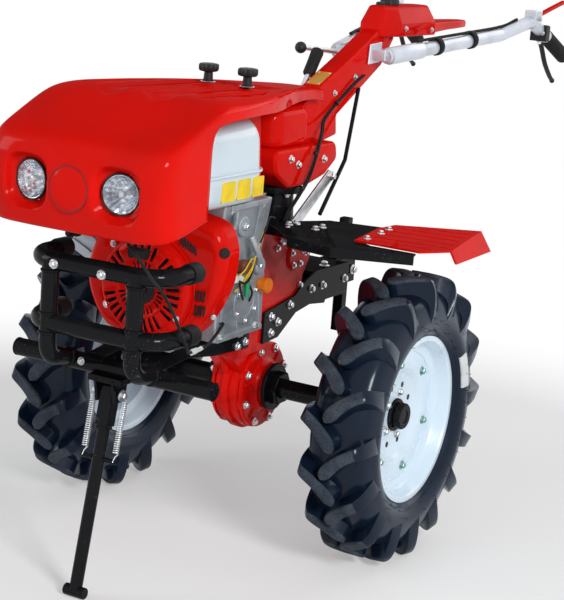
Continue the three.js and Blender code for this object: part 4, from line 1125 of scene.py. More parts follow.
def cylinder_and_head():
    """Cooling fins round the barrel, the finned head, its valve cover and the plug."""
    softened("cylinder_head", ALLOY, 3.0)
    fins = Shape()

    def fin(near, far, low, high, y0, y1):
        """A flat fin between two reaches along the cylinder and two places across it."""
        corners = ((near, low), (far, low), (far, high), (near, high))
        fins.prism("y", [on_cylinder(*corner) for corner in corners], y0, y1)

    for k in range(9):
        reach = 76 + 10.5 * k
        fin(reach, reach + 2.6, -78, 84 if k > 1 else 70, -326, -176)
    for k in range(5):
        across = -56 + 28 * k
        fin(176, 222, across, across + 3, -334, -168)
    fins.piece("cooling_fins", "chassis", ALLOY, crease=30)
    cover = Shape()
    lid = rounded_outline(-70, 70, -60, 60, 18)
    tilt = Matrix.Rotation(-(math.pi / 2 - RISE), 4, "Y")
    cover.layered("z", [(lid, 0), (lid, 5), (inset(lid, 7), 6), (inset(lid, 9), 15), (inset(lid, 14), 18)])
    x, z = on_cylinder(226, 0)
    cover.moved(Matrix.Translation((x, -252, z)) @ tilt)
    cover.piece("valve_cover", "chassis", ALLOY, crease=34)
    direction = (-math.cos(RISE), 0, math.sin(RISE))
    heads = []
    for y in (-304, -200):
        for across in (-52, 52):
            x, z = on_cylinder(231, across)
            heads.append(((x, y, z), direction, 8))
    bolted("valve_cover_bolts", "chassis", STEEL, heads)
    plug = Shape()
    px, pz = on_cylinder(214, -30)
    plug.turned((px, -335, pz), (0, -1, 0), [(-8, 8), (4, 8), (5, 10), (14, 10), (18, 8), (38, 7.5), (42, 5)],
                24)
    plug.tube(smooth_path([(px, -372, pz), (px + 6, -384, pz + 22), (px + 36, -378, pz + 52),
                           (-98, -352, 706)]),
              3.4, 12)
    plug.piece("plug_boot", "chassis", CORD_RUBBER, crease=30)


SHROUD = ((-60, 447), (0, 446), (46, 449), (92, 478), (122, 519), (145, 568), (153, 614), (151, 652),
          (128, 688),
          (60, 700), (0, 694), (-66, 680), (-122, 642), (-146, 592), (-148, 540), (-128, 492), (-98, 460))
SHROUD_BACK = -335.3
SHROUD_FRONT = -395.3
COWL_SCREWS = [(108 * math.cos(math.radians(a)), CRANK_Z + 104 * math.sin(math.radians(a)))
               for a in (20, 140, 262)]


def fan_shroud():
    """The pressed red cowl round the flywheel, with black marks of painted shade for its side vents, and its
    rubber plug.
    """
    outline = closed_smooth(SHROUD, 7)
    layers = [(inset(outline, 2), SHROUD_BACK), (outline, SHROUD_BACK - 2), (outline, SHROUD_FRONT + 26)]
    layers += [(inset(outline, 22 * (1 - math.cos(a))), SHROUD_FRONT + 26 - 26 * math.sin(a))
               for a in quarter(8, 1)]
    layers.append((inset(outline, 34), SHROUD_FRONT - 0.01))
    shape = Shape()
    shape.layered("y", layers)
    shape.turned((0, SHROUD_FRONT, CRANK_Z), (0, -1, 0), [(-4, 101), (1, 101), (2.4, 99), (2.4, 90)], 72)
    for x, z in COWL_SCREWS:
        shape.turned((x, SHROUD_FRONT, z), (0, -1, 0), [(-4, 9), (3, 8), (4, 7), (4, 0)], 24)
    shape.piece("fan_cowl", "chassis", ENGINE_RED, ("fan_shroud",), crease=35)

    # painted shade: black rods stand for the vent slots, whose insides would be dark
    vents = Shape()

    def slot(x, z, tall, lean=0.0):
        """A black rod on the cowl's front, painted shade standing for a pressed slot."""
        top = Vector((x + lean * tall / 2, SHROUD_FRONT - 0.3, z + tall / 2))
        foot = Vector((x - lean * tall / 2, SHROUD_FRONT - 0.3, z - tall / 2))
        vents.tube([foot, foot.lerp(top, 0.5), top], 1.9, 8)

    for row, z in enumerate((528, 556)):
        for k in range(4):
            slot(103 + 6.4 * k - 5 * row * 0.3, z, 20, 0.1)
    for k in range(6):
        slot(60 + 7 * k, 655 - 3.4 * k, 24 - 1.4 * k, -0.25)
    vents.piece("cowl_vents_painted_shade", "chassis", BLACK_PLASTIC, crease=40)

    plug = Shape()
    plug.turned((151.5, -385.5, 641), (0.74, -0.66, 0.12), [(-9, 9.4), (1.6, 9.6), (2.6, 8.2), (2.8, 0)], 28)
    plug.piece("cowl_plug", "chassis", GRIP_RUBBER, crease=30)
    heads = [((x, SHROUD_FRONT - 4, z), (0, -1, 0), 8) for x, z in COWL_SCREWS]
    heads += [((x, SHROUD_FRONT + 24, z), (0.6, -0.8, -0.1), 6)
              for x, z in ((128, 515), (140, 600), (88, 470))]
    bolted("cowl_screws", "chassis", STEEL, heads)


# Rings of the recoil cover: radius, lift from its back, and whether the ring after it has slots.
RECOIL_RINGS = ((97, 0, 0), (97, 10, 0), (94.5, 19, 0), (89, 25.5, 0), (84, 28, 1), (76, 30, 1), (66, 31, 1),
                (57, 31, 0), (53, 31, 0), (50, 29, 1), (43, 28, 1), (36, 28, 0), (30, 28, 0))
SPOKES = 34


def recoil_starter():
    """The starter's domed cover: real slots between spokes, over the dark reel behind."""
    back = SHROUD_FRONT - 0.3
    shape = Shape()
    cells = SPOKES * 4
    rings = []
    for radius, lift, _ in RECOIL_RINGS:
        rings.append(shape.verts([(radius * c, back - lift, CRANK_Z + radius * s)
                                  for c, s in around(cells, 180 / cells)]))
    for (_, _, slotted), low, high in zip(RECOIL_RINGS, rings, rings[1:]):
        for k in range(cells):
            sector = k // 4
            open_cell = slotted and k % 4 in (1, 2) and sector % 6 != 5
            if not open_cell:
                n = (k + 1) % cells
                shape.face((low[k], low[n], high[n], high[k]))
    shape.piece("recoil_cover", "chassis", ENGINE_RED, ("recoil_starter",), crease=50, solid=1.6)
    reel = Shape()
    reel.turned((0, back, CRANK_Z), (0, -1, 0),
                [(0, 90), (6, 90), (14, 78), (16, 70), (16, 40), (20, 34), (22, 0)], 48)
    reel.piece("recoil_reel", "chassis", BLACK_PLASTIC, crease=35)
    hub = Shape()
    hub.turned((0, back, CRANK_Z), (0, -1, 0), [(18, 31), (27, 31), (29, 29), (29, 15), (27, 13), (27, 0)], 48)
    hub.turned((0, back, CRANK_Z), (0, -1, 0), [(26, 11), (29.5, 11), (30, 10), (30, 0)], 24)
    hub.piece("recoil_hub", "chassis", BLACK_PLASTIC, crease=35)
    bolted("recoil_screws", "chassis", STEEL,
           [((90 * c, back - 24, CRANK_Z + 90 * s), (0, -1, 0), 8) for c, s in around(3, 90)])


def recoil_handle():
    """The T handle, its ribbed grip bulging at both ends, and the rope's rubber guide."""
    low, high = drawn_box("recoil_handle")
    centre = (low + high) / 2
    shape = Shape()
    rings = []
    for k in range(17):
        t = k / 16
        x = centre.x - 20 + 40 * t
        swell = 0.8 + 0.2 * abs(2 * t - 1) ** 2 if 0 < k < 16 else 0.62
        rings.append([(x, centre.y + 11.6 * swell * c, centre.z + 11.8 * swell * s) for c, s in around(24)])
    shape.rings(rings)
    shape.turned((centre.x, centre.y + 8, centre.z - 2), (0, 0.97, -0.24),
                 [(0, 7), (8, 9), (14, 10), (20, 9)], 24)
    shape.piece("recoil_grip", "chassis", GRIP_RUBBER, ("recoil_handle",), crease=50)


TANK_X = (-150, 140)
TANK_Y = (-466, -228)
SEAM_Z = 779
TANK_SIGNS = ((-392, -346), (-338, -292), (-284, -244))


def fuel_tank():
    """Two pressed halves, welded at a flange, with a softly crowned top."""
    plan = rounded_outline(*TANK_X, *TANK_Y, 46, 10)
    centre = ((TANK_X[0] + TANK_X[1]) / 2, (TANK_Y[0] + TANK_Y[1]) / 2)

    def level(z, drawn_in):
        return inset(plan, drawn_in), z

    layers = [level(740.4, 24)]
    layers += [level(716.4 + 24 * (1 - math.cos(a)), 24 * (1 - math.sin(a))) for a in quarter(6, 1)]
    layers += [level(770, -0.5), level(SEAM_Z - 2.4, -1), level(SEAM_Z - 2.2, -5.4), level(SEAM_Z - 1.2, -6),
               level(SEAM_Z + 1.2, -6), level(SEAM_Z + 2.2, -5.4), level(SEAM_Z + 2.4, 0.5), level(790, 1)]
    layers += [level(826 + 52 * math.sin(a), 3 + 47 * (1 - math.cos(a))) for a in quarter(8)]
    ring = inset(plan, 45)
    for share, z in ((0.66, 880.2), (0.4, 881.2), (0.12, 881.6)):
        layers.append(([(centre[0] + (x - centre[0]) * share, centre[1] + (y - centre[1]) * share)
                        for x, y in ring], z))
    Shape().layered("z", layers).piece("fuel_tank_pressed", "chassis", TANK_GREY, ("fuel_tank",), crease=44)

    low, high = drawn_box("fuel_cap")
    foot = low.z
    lifts = ((0, 33), (1.5, 35.6), (11, 35.6), (15.5, 33), (17.4, 28), (17.4, 12), (17.4, 0.5))
    profile = [(foot + lift, radius) for lift, radius in lifts]
    cap = Shape().fluted("z", (low + high) / 2, profile, 4, 36, 1.2, foot + 1, foot + 12)
    cap.piece("fuel_cap_knurled", "chassis", BLACK_PLASTIC, ("fuel_cap",), crease=30)
    signs = Shape()
    for y0, y1 in TANK_SIGNS:
        signs.prism("x", rounded_outline(y0, y1, 731, 768, 3, 3), 139.4, 141.2)
    signs.piece("tank_signs_blank", "chassis", YELLOW_PLATE, crease=30)
    plate = rounded_outline(40, 84, -420, -310, 4, 4)
    Shape().prism("z", plate, 880.3, 881.9).piece("tank_plate_blank", "chassis", BLACK_PLASTIC, crease=30)


def air_and_exhaust():
    """The far side: air cleaner with its wing nut, and the muffler in its guard, whose holes are black discs of
    painted shade.
    """
    softened("air_cleaner", BLACK_PLASTIC, 7.0)
    nut = Shape()
    nut.turned((-195, -395, 817), (0, 0, 1), [(0, 8), (5, 8), (7, 4)], 20)
    nut.box((-213, -396.5, 819), (-177, -393.5, 831))
    nut.piece("air_cleaner_nut", "chassis", STEEL, bevel=1.2)
    softened("muffler", STEEL, 9.0)
    # painted shade: flat black discs stand for the guard's holes, where the dark inside would show
    guard = Shape()
    for k in range(6):
        for j in range(3):
            y, z = -280 + 21 * k, 757 + 17 * j
            guard.turned((-236.4, y, z), (-1, 0, 0), [(0, 4.6), (0.8, 4.6), (0.9, 0)], 16)
            guard.turned((-225 + 22 * j, y, 808.2), (0, 0, 1), [(0, 4.6), (0.8, 4.6), (0.9, 0)], 16)
    guard.piece("muffler_holes_painted_shade", "chassis", BLACK_PLASTIC, crease=30)
    pipe = Shape()
    pipe.tube([(-200, -161, 770), (-200, -150, 770), (-204, -138, 764)], 11, 20)
    pipe.piece("exhaust_stub", "chassis", STEEL, crease=30)


def oil_cap():
    """The orange filler cap, fluted round its rim."""
    low, high = drawn_box("oil_filler_cap")
    middle, y, z = (low + high) / 2
    reaches = ((-11, 12.4), (-9.5, 13.4), (-2, 13.6), (2, 13.4), (3, 15), (9, 15), (10.8, 13.4), (10.9, 1))
    profile = [(middle + reach, radius) for reach, radius in reaches]
    cap = Shape().fluted("x", (y, z), profile, 6, 12, 1.3, middle + 2, middle + 10)
    cap.piece("oil_cap_fluted", "chassis", ORANGE_PLASTIC, ("oil_filler_cap",), crease=30)


def engine_wiring():
    """The engine switch, ignition leads and their small connectors on the crankcase's side."""
    block = rounded_outline(-272, -240, 578, 604, 9, 5)
    coil = Shape().layered("x", [(block, 110), (block, 124), (inset(block, 3), 128)])
    coil.piece("ignition_coil", "chassis", plastic("brown_resin", None, (0.16, 0.05, 0.03)), crease=35)
    switch = Shape()
    switch.box((112, -300, 566), (126, -272, 580))
    switch.box((112, -266, 560), (122, -258, 574))
    switch.piece("engine_switch", "chassis", WHITE_PLASTIC, bevel=2)
    green = Shape()
    green.tube([(124, -250, 572), (126, -252, 552), (127, -254, 534)], 4.6, 12)
    green.piece("green_sleeve", "chassis", GREEN_SHEATH, crease=30)
    wires = Shape()
    loops = (((122, -292, 574), (134, -280, 590), (133, -256, 608), (128, -236, 602), (127, -244, 580),
              (124, -270, 560), (120, -288, 548)),
             ((122, -262, 566), (130, -246, 590), (126, -226, 612), (120, -204, 630), (112, -180, 648)))
    for loop in loops:
        wires.tube(smooth_path(loop), 1.5, 8)
    wires.piece("yellow_leads", "chassis", YELLOW_SHEATH, crease=40)
    dark = Shape()
    for loop in (((124, -286, 570), (132, -268, 564), (129, -246, 574), (121, -222, 590)),
                 ((120, -272, 566), (131, -284, 552), (124, -262, 530)),
                 ((118, -240, 560), (126, -232, 540), (118, -226, 520)),
                 ((120, -204, 630), (112, -172, 652), (98, -136, 668), (84, -90, 660))):
        dark.tube(smooth_path(loop), 2.0, 8)
    dark.piece("ignition_leads", "chassis", CORD_RUBBER, crease=40)


for make in (crankcase, cylinder_and_head, fan_shroud, recoil_starter, recoil_handle, fuel_tank, air_and_exhaust,
             oil_cap, engine_wiring):
    make()


# ---------------------------------------------------------------- bumper and stand
BUMPER_Y = -578
BAR_RADIUS = 16.5
ARM_END_Y = -460
CAGE_HALF = 143
BASE_Y = -500
BASE_Z = 418
BASE_HALF = 217.6
CAGE_BARS = (616, 502)  # their heights


def bumper():
    """Two bars with swept-back arms on two posts that turn under to the base tube."""
    cage = Shape()
    for z in CAGE_BARS:
        cage.tube(rounded_path([(-CAGE_HALF, ARM_END_Y, z), (-CAGE_HALF, BUMPER_Y, z),
                                (CAGE_HALF, BUMPER_Y, z), (CAGE_HALF, ARM_END_Y, z)], 62, 10), BAR_RADIUS, 28)
    for _, side in SIDES:
        x = side * 92
        cage.tube(rounded_path([(x, BUMPER_Y, 614), (x, BUMPER_Y, 437), (x, BASE_Y - 4, 424)], 34, 10),
                  BAR_RADIUS - 0.6, 28)
        for z in (598, 520, 484):  # weld beads
            cage.turned((x, BUMPER_Y, z), (0, 0, 1), [(-3, 16.2), (-1.5, 18.3), (1.5, 18.3), (3, 16.2)], 28)
        cage.turned((x, -517, 425), (0, 1, -0.12), [(-3, 16.2), (-1.5, 18.6), (2, 18.6), (5, 16.2)], 28)
    cage.piece("bumper_tubes", "chassis", BUMPER_BLACK, ("bumper_cage",), crease=40)

    caps = Shape()
    for z in CAGE_BARS:
        for _, side in SIDES:
            caps.turned((side * CAGE_HALF, ARM_END_Y, z), (0, 1, 0),
                        [(-34, 16.8), (-34, 18.6), (-32, 19.2), (-4, 19.2), (-1, 17.6), (0.2, 14), (0.4, 0)],
                        32)
    caps.piece("bumper_end_caps", "chassis", GRIP_RUBBER, crease=35)

    base = Shape()
    base.tube([(x, BASE_Y, BASE_Z) for x in (-BASE_HALF, 0, BASE_HALF)], BAR_RADIUS, 36)
    for _, side in SIDES:
        base.turned((side * BASE_HALF, BASE_Y, BASE_Z), (side, 0, 0),
                    [(-3, 17.2), (-0.6, 17.2), (0, 15), (0, 0)], 36)
    base.piece("bumper_base_tube", "chassis", BUMPER_BLACK, crease=40)
    softened("bumper_base", FRAME_BLACK, 1.6)

    bolts = Shape()
    for x, z in ((-73, 614), (30, 612)):
        bolts.turned((x, BUMPER_Y - 14, z), (0, -1, 0), [(0, 9), (4, 9), (4.6, 8.4), (4.6, 4)], 24)
        bolts.bolt((x, BUMPER_Y - 18, z), (0, -1, 0), 10)
    for x in (-60, 98):
        bolts.bolt((x, BASE_Y - 16, BASE_Z + 5), (0, -1, 0), 9)
    bolts.piece("bumper_bolts", "chassis", STEEL, crease=30)


STAND = TO_FRAME.inverted() @ JOINTS["stand_fold"]
STAND_FOOT = Vector((0, -583, 10))
SPRING_X = 34
SPRING_TURNS = 24


def stand():
    """A square socket on its pin, a round leg with a crossbar foot, and two return springs."""
    down = (STAND_FOOT - STAND).normalized()
    side = Vector((1, 0, 0))
    forward = side.cross(down)

    def hung(x, out, below):
        return STAND + side * x + forward * out + down * below

    leg = Shape()
    for wide, top, foot in ((13.4, -14, 60), (11, 60, 67)):
        square = [(-wide, -wide), (wide, -wide), (wide, wide), (-wide, wide)]
        leg.rings([[hung(x, y, below) for x, y in square] for below in (top, foot)])
    length = (STAND_FOOT - STAND).length
    leg.tube([hung(0, 0, 56), hung(0, 0, 200), hung(0, 0, length - 2)], 12, 28)
    leg.tube([hung(x, 0, 121) for x in (-40, 0, 40)], 4.6, 14)
    leg.tube([(x, STAND_FOOT.y, 11) for x in (-22, 0, 22)], 10.8, 24)
    leg.piece("stand_leg_tube", "front_stand", BUMPER_BLACK, ("stand_leg",), bevel=1.4, crease=40)

    for name, x_side in SIDES:
        x = x_side * SPRING_X
        path = [hung(x * 0.82, 0, 121), hung(x, -4, 121), hung(x, 0, 112)]
        count = SPRING_TURNS * 10
        for k in range(count + 1):
            turn = 2 * math.pi * SPRING_TURNS * k / count
            below = 106 - 96 * k / count
            path.append(hung(x + 5.2 * math.cos(turn), 5.2 * math.sin(turn), below))
        path += [hung(x, 0, 4), hung(x, 4, -1), hung(x * 0.88, 0, -4)]
        coil = Shape().tube(path, 1.2, 6)
        coil.piece(f"stand_coil_{name}", "front_stand", STEEL, (f"stand_spring_{name}",), crease=60)
    bolted("stand_pin_nuts", "chassis", STEEL,
           [((side * 26, STAND.y, STAND.z), (side, 0, 0), 13) for _, side in SIDES])


# ---------------------------------------------------------------- gear case, frame and hitch
CASE_BOLTS = [(80 * c, AXLE_Z + 80 * s) for c, s in around(8, 20)]


def gear_case():
    softened("gearbox", CAST_RED, 4.0, crease=26)
    trim = Shape()
    for _, side in SIDES:
        out = (side, 0, 0)
        trim.turned((side * 30, 0, AXLE_Z), out,
                    [(0, 90), (5, 90), (8, 86), (8, 60), (14, 52), (20, 49), (20, 30)], 64)
        for y, z in CASE_BOLTS:
            trim.turned((side * 26, y, z), out, [(0, 12), (12, 11), (14, 9.6), (14, 0)], 28)
        for c, s in around(6, 50):
            trim.tube([(side * 38, r * c, AXLE_Z + r * s) for r in (50, 64, 80)], 3.6, 12)
        trim.slab(side, [(-148, 470), (-40, 470), (-40, 476), (-148, 476)], 54, 58)
        trim.turned((side * 54, 60, 560), out, [(0, 34), (5, 34), (7, 32), (7, 0)], 48)
    trim.tube([(0, -92, 330), (0, -118, 372), (0, -128, 420)], 7, 16)
    trim.piece("gear_case_bosses", "chassis", CAST_RED, bevel=1.2, segments=2, crease=32)
    bolts = Shape()
    for _, side in SIDES:
        out = (side, 0, 0)
        for y, z in CASE_BOLTS:
            bolts.bolt((side * 40, y, z), out, 10)
        for c, s in around(5, 18):
            bolts.bolt((side * 61, 60 + 24 * c, 560 + 24 * s), out, 8)
        for y, z in ((-20, 585), (104, 560), (88, 492), (-140, 590)):
            bolts.bolt((side * 56.4, y, z), out, 9)
    bolts.turned((0, -22, 620), (0, 0, 1), [(0, 16), (4, 16), (5, 12), (9, 12), (10, 10), (10, 0)], 24)
    bolts.piece("gear_case_bolts", "chassis", STEEL, crease=30)
    for name, side in SIDES:
        collar = Shape()
        face = side * 58.4
        collar.turned((face, 0, AXLE_Z), (side, 0, 0),
                      [(0, 22), (0, 49.5), (5, 49.8), (8, 48), (8, 38), (9, 37)], 56)
        collar.turned((face, 0, AXLE_Z), (side, 0, 0),
                      [(8, 22), (8, 35.5), (24, 35.5), (26, 33.5), (26, 21.6)], 6, closed=True)
        collar.piece(f"axle_nut_{name}", "chassis", FRAME_BLACK, (f"axle_collar_{name}",), bevel=1.2,
                     crease=30)


def frame_plates():
    for node in ("rear_plate_left", "rear_plate_right", "hitch_bracket", "hitch_bar", "engine_bed",
                 "fender_bracket", "turret"):
        softened(node, FRAME_BLACK, 1.4)
    bolts = Shape()
    for _, side in SIDES:
        out = (side, 0, 0)
        for y, z in ((-37, 446), (-35, 412), (40, 458), (130, 478), (180, 478), (280, 478), (-8, 430)):
            bolts.bolt((side * 62.4, y, z), out, 11)
        for y, z in ((-136, 440), (-136, 412), (-160, 433), (-165, 408), (-259, 438), (-300, 436)):
            bolts.bolt((side * 62.4, y, z), out, 10)
        for y in (-62, -20):
            bolts.bolt((side * 100, y, 635.6), (0, 0, 1), 8)
    bolts.tube([(x, 391, 475) for x in (-34, 0, 34)], 7, 20)
    for _, side in SIDES:
        bolts.bolt((side * 26, 391, 475), (side, 0, 0), 13)
    bolts.bolt((40, 225, 510), (0, 0, 1), 13)
    bolts.piece("frame_bolts", "chassis", STEEL, crease=30)
    weld = Shape()
    for _, side in SIDES:
        weld.tube([(side * 56, 296, 448), (side * 56, 298, 480), (side * 56, 296, 506)], 3.4, 10)
        weld.tube([(side * 20, 302, 504), (side * 17, 330, 505), (side * 17, 380, 505)], 2.4, 10)
    weld.piece("hitch_welds", "chassis", FRAME_BLACK, crease=40)


bumper()
stand()
gear_case()
frame_plates()


# ---------------------------------------------------------------- column and console
PIVOT = Vector((0, 407, 957))
ROOF_FROM, ROOF_SLOPE = (181, 899.5), 0.4197  # where the column's upper face starts, and its rise
COLUMN_BASE = ((-58, 785), (-46, 736), (12, 702.4), (98, 702.4), (164, 716), (216, 746), (206, 785))
COLUMN_BEAM = ((112, 779), (112, 869), (181, 899.5), (318, 957), (477, 1030), (508, 1037), (508, 986),
               (456, 930), (259, 831), (266, 790), (200, 779))


def beam_top(y):
    return ROOF_FROM[1] + ROOF_SLOPE * (y - ROOF_FROM[0])


def column():
    body = Shape()
    body.cushion("x", rounded_corners(COLUMN_BASE, 20), -56, 56, 9)
    body.cushion("x", rounded_corners(COLUMN_BEAM, 7), -22, 22, 4)
    body.piece("column_body", "chassis", COLUMN_RED, ("column",), crease=40)
    plan = rounded_outline(-46, 46, -38, 111, 34, 10)
    layers = [(inset(plan, 9), 785.4), (inset(plan, 3.4), 789), (inset(plan, 0.8), 795), (plan, 803),
              (plan, 838)]
    layers += [(inset(plan, 30 * (1 - math.cos(a))), 838 + 34 * math.sin(a)) for a in quarter(9, 1)]
    Shape().layered("z", layers).piece("column_dome_moulded", "chassis", COLUMN_RED, ("column_dome",),
                                       crease=40)

    plate = Shape()
    plate.prism("x", [(181, beam_top(181) + 0.2), (234, beam_top(234) + 0.2), (234, beam_top(234) + 1.4),
                      (181, beam_top(181) + 1.4)], -16, 16)
    plate.piece("column_plate_blank", "chassis", AMBER_PLATE, bevel=0.4)
    fixings = Shape()
    normal = Vector((0, -ROOF_SLOPE, 1))
    for x in (-12.5, 12.5):
        for y in (185, 230):
            fixings.turned((x, y, beam_top(y) + 1), normal, [(0, 2.2), (0.8, 2), (1.4, 1.1), (1.5, 0)], 16)
    for _, side in SIDES:
        for y, z in ((150, 752), (40, 750), (8, 764)):
            fixings.bolt((side * 56.2, y, z), (side, 0, 0), 10)
        for y, z in ((240, 880), (330, 910)):
            fixings.bolt((side * 22.2, y, z), (side, 0, 0), 8)
    fixings.piece("column_fixings", "chassis", STEEL, crease=30)


def console():
    """The cover over the column's head, with its thin tail and the black knob on top."""
    cover = Shape()
    plan = rounded_corners(((27, 431), (47.6, 490), (47.6, 672), (30, 700), (-30, 700), (-47.6, 672),
                            (-47.6, 490), (-27, 431)), 12)

    def level(z, across, along):
        return [(x * across, 560 + (y - 560) * along) for x, y in plan], z

    cover.layered("z", [level(994, 0.96, 0.985), level(995.5, 0.99, 0.996), level(998, 1, 1),
                        level(1021, 1, 1),
                        level(1024, 0.985, 0.99), level(1048, 0.74, 0.9), level(1054, 0.68, 0.88),
                        level(1058, 0.62, 0.86), level(1059.6, 0.54, 0.83), level(1060, 0.44, 0.79)])
    tail = []
    for y, half, low_z, high_z in ((668, 44, 996, 1022), (720, 36, 998, 1022), (790, 27, 1000, 1021.5),
                                   (870, 19, 1001, 1021), (922, 14, 1002, 1020), (931, 9, 1005, 1017)):
        tail.append([(x, y, z) for x, z in rounded_outline(-half, half, low_z, high_z, 6, 4)])
    cover.rings(tail)
    cover.piece("console_cover", "chassis", HOOD_RED, ("console",), crease=36)
    low, high = drawn_box("console_knob")
    centre = (low + high) / 2
    foot, top = low.z, high.z
    profile = ((foot, 21), (foot + 1.5, 22), (foot + 9, 21.4), (top - 2.5, 19.4), (top - 0.6, 17.5), (top, 14),
               (top - 0.8, 6), (top - 0.8, 0.5))
    knob = Shape().fluted("z", centre, profile, 6, 12, 1.3, foot + 1, top - 1)
    knob.turned((centre.x, centre.y - 46, 1052), (0, 0, 1),
                [(0, 13), (5, 13), (9, 10), (13, 10), (15, 7), (15, 0)], 28)
    knob.piece("console_knob_fluted", "chassis", BLACK_PLASTIC, ("console_knob",), crease=30)
    bolted("console_screws", "chassis", STEEL,
           [((side * 47.4, y, z), (side, 0, 0), 7) for _, side in SIDES
            for y, z in ((512, 1012), (650, 1006))])


def turret_details():
    low, high = drawn_box("turret")
    x, y, _ = (low + high) / 2
    bolted("turret_bolts", "chassis", STEEL,
           [((x + 47 * c, y + 47 * s, high.z - 15), (0, 0, -1), 8) for c, s in around(6, 30)])


# ---------------------------------------------------------------- handlebars
BAR = 15.5
BAR_CORNERS = ((60, 397, 955), (150, 816, 1000), (186, 915, 1034), (192, 1000, 998))
GRIP_END = Vector((202, 1118, 944))
GRIP_WAY = (GRIP_END - Vector(BAR_CORNERS[-1])).normalized()


def on_bar(side, share):
    """A point on the long straight run of a bar, and the run's direction."""
    start, end = (Vector((side * x, y, z)) for x, y, z in BAR_CORNERS[:2])
    return start.lerp(end, share), (end - start).normalized()


def sided(side, point):
    return Vector((side * point[0], point[1], point[2]))


def handlebar(name, side):
    shape = Shape()
    tip = sided(side, GRIP_END - GRIP_WAY * 20)
    path = rounded_path([*(sided(side, p) for p in BAR_CORNERS), tip], 46, 12)
    shape.tube(path, BAR, 36)
    start, way = on_bar(side, 0.02)
    shape.turned(start, way, [(0, 15), (0, 18.2), (2, 19), (112, 19), (118, 17.6), (120, 15.6)], 36)
    shape.piece(f"handlebar_{name}_tube", "handlebars", BAR_SILVER, (f"handlebar_{name}",), crease=40)

    lug = Shape()
    lug.slab(side, [(381, 935), (437, 939), (441, 983), (385, 979)], 23, 28)
    lug.slab(side, [(389, 945), (433, 945), (433, 969), (389, 969)], 27, 62)
    lug.slab(side, [(908, 1022), (950, 1022), (950, 1060), (908, 1060)], 170, 200)
    lug.piece(f"handlebar_{name}_lugs", "handlebars", BAR_SILVER, bevel=3.5)

    straps = Shape()
    for share in (0.42, 0.72):
        at, way = on_bar(side, share)
        straps.turned(at + Vector((0, 0, 2.5)), way,
                      [(-7, 14), (-7, 20.2), (-5, 21), (5, 21), (7, 20.2), (7, 14)], 28)
    straps.piece(f"bar_straps_{name}", "handlebars", GRIP_RUBBER, crease=30)
    bolted(f"bar_bolts_{name}", "handlebars", STEEL,
           [((side * 30, 424, 957), (side, 0, 0), 9), ((side * 200, 929, 1041), (side, 0, 0), 9),
            ((side * 170, 929, 1041), (-side, 0, 0), 9)])


def grip(name, side):
    """A ribbed rubber grip with a collar, closed at its end."""
    start = sided(side, Vector(BAR_CORNERS[-1]) + GRIP_WAY * 8)
    end = sided(side, GRIP_END)
    way = (end - start).normalized()
    length = (end - start).length
    profile = [(0, 15.6), (0, 17.4), (1, 18), (6, 18), (7, 17.2)]
    ribs = 26
    for k in range(ribs):
        at = 8 + (length - 18) * k / ribs
        pitch = (length - 18) / ribs
        profile += [(at, 16.6), (at + pitch * 0.3, 17.9), (at + pitch * 0.7, 17.9)]
    profile += [(length - 9, 17.2), (length - 7, 18), (length - 2, 18), (length - 0.4, 16), (length, 12),
                (length, 0)]
    shape = Shape()
    shape.turned(start, way, profile, 40)
    shape.piece(f"grip_{name}_ribbed", "handlebars", GRIP_RUBBER, (f"grip_{name}",), crease=50)


def clutch_lever(name, side):
    """The hand lever under the grip: perch, pivot bolt and a curved flat blade."""
    x = side * 192
    shape = Shape()
    shape.slab(side, [(957, 986), (981, 986), (981, 1022), (972, 1025), (958, 1025)], 170, 212)
    path = smooth_path([(x, 966, 992), (x, 990, 966), (x, 1020, 930), (x, 1060, 898), (x, 1084, 884)], 8)
    shape.sweep(path, oval(6.4, 3.8, 16))
    shape.ball((x, 1084, 884), 6.4, 18)
    shape.piece(f"clutch_lever_{name}_forged", "handlebars", BLACK_PLASTIC, (f"clutch_lever_{name}",),
                bevel=2.2, crease=35)
    bolted(f"lever_pivot_{name}", "handlebars", STEEL,
           [((x, 968, 985.5), (0, 0, -1), 9), ((x + side * 9, 958, 1006), (0, -1, 0), 7)])


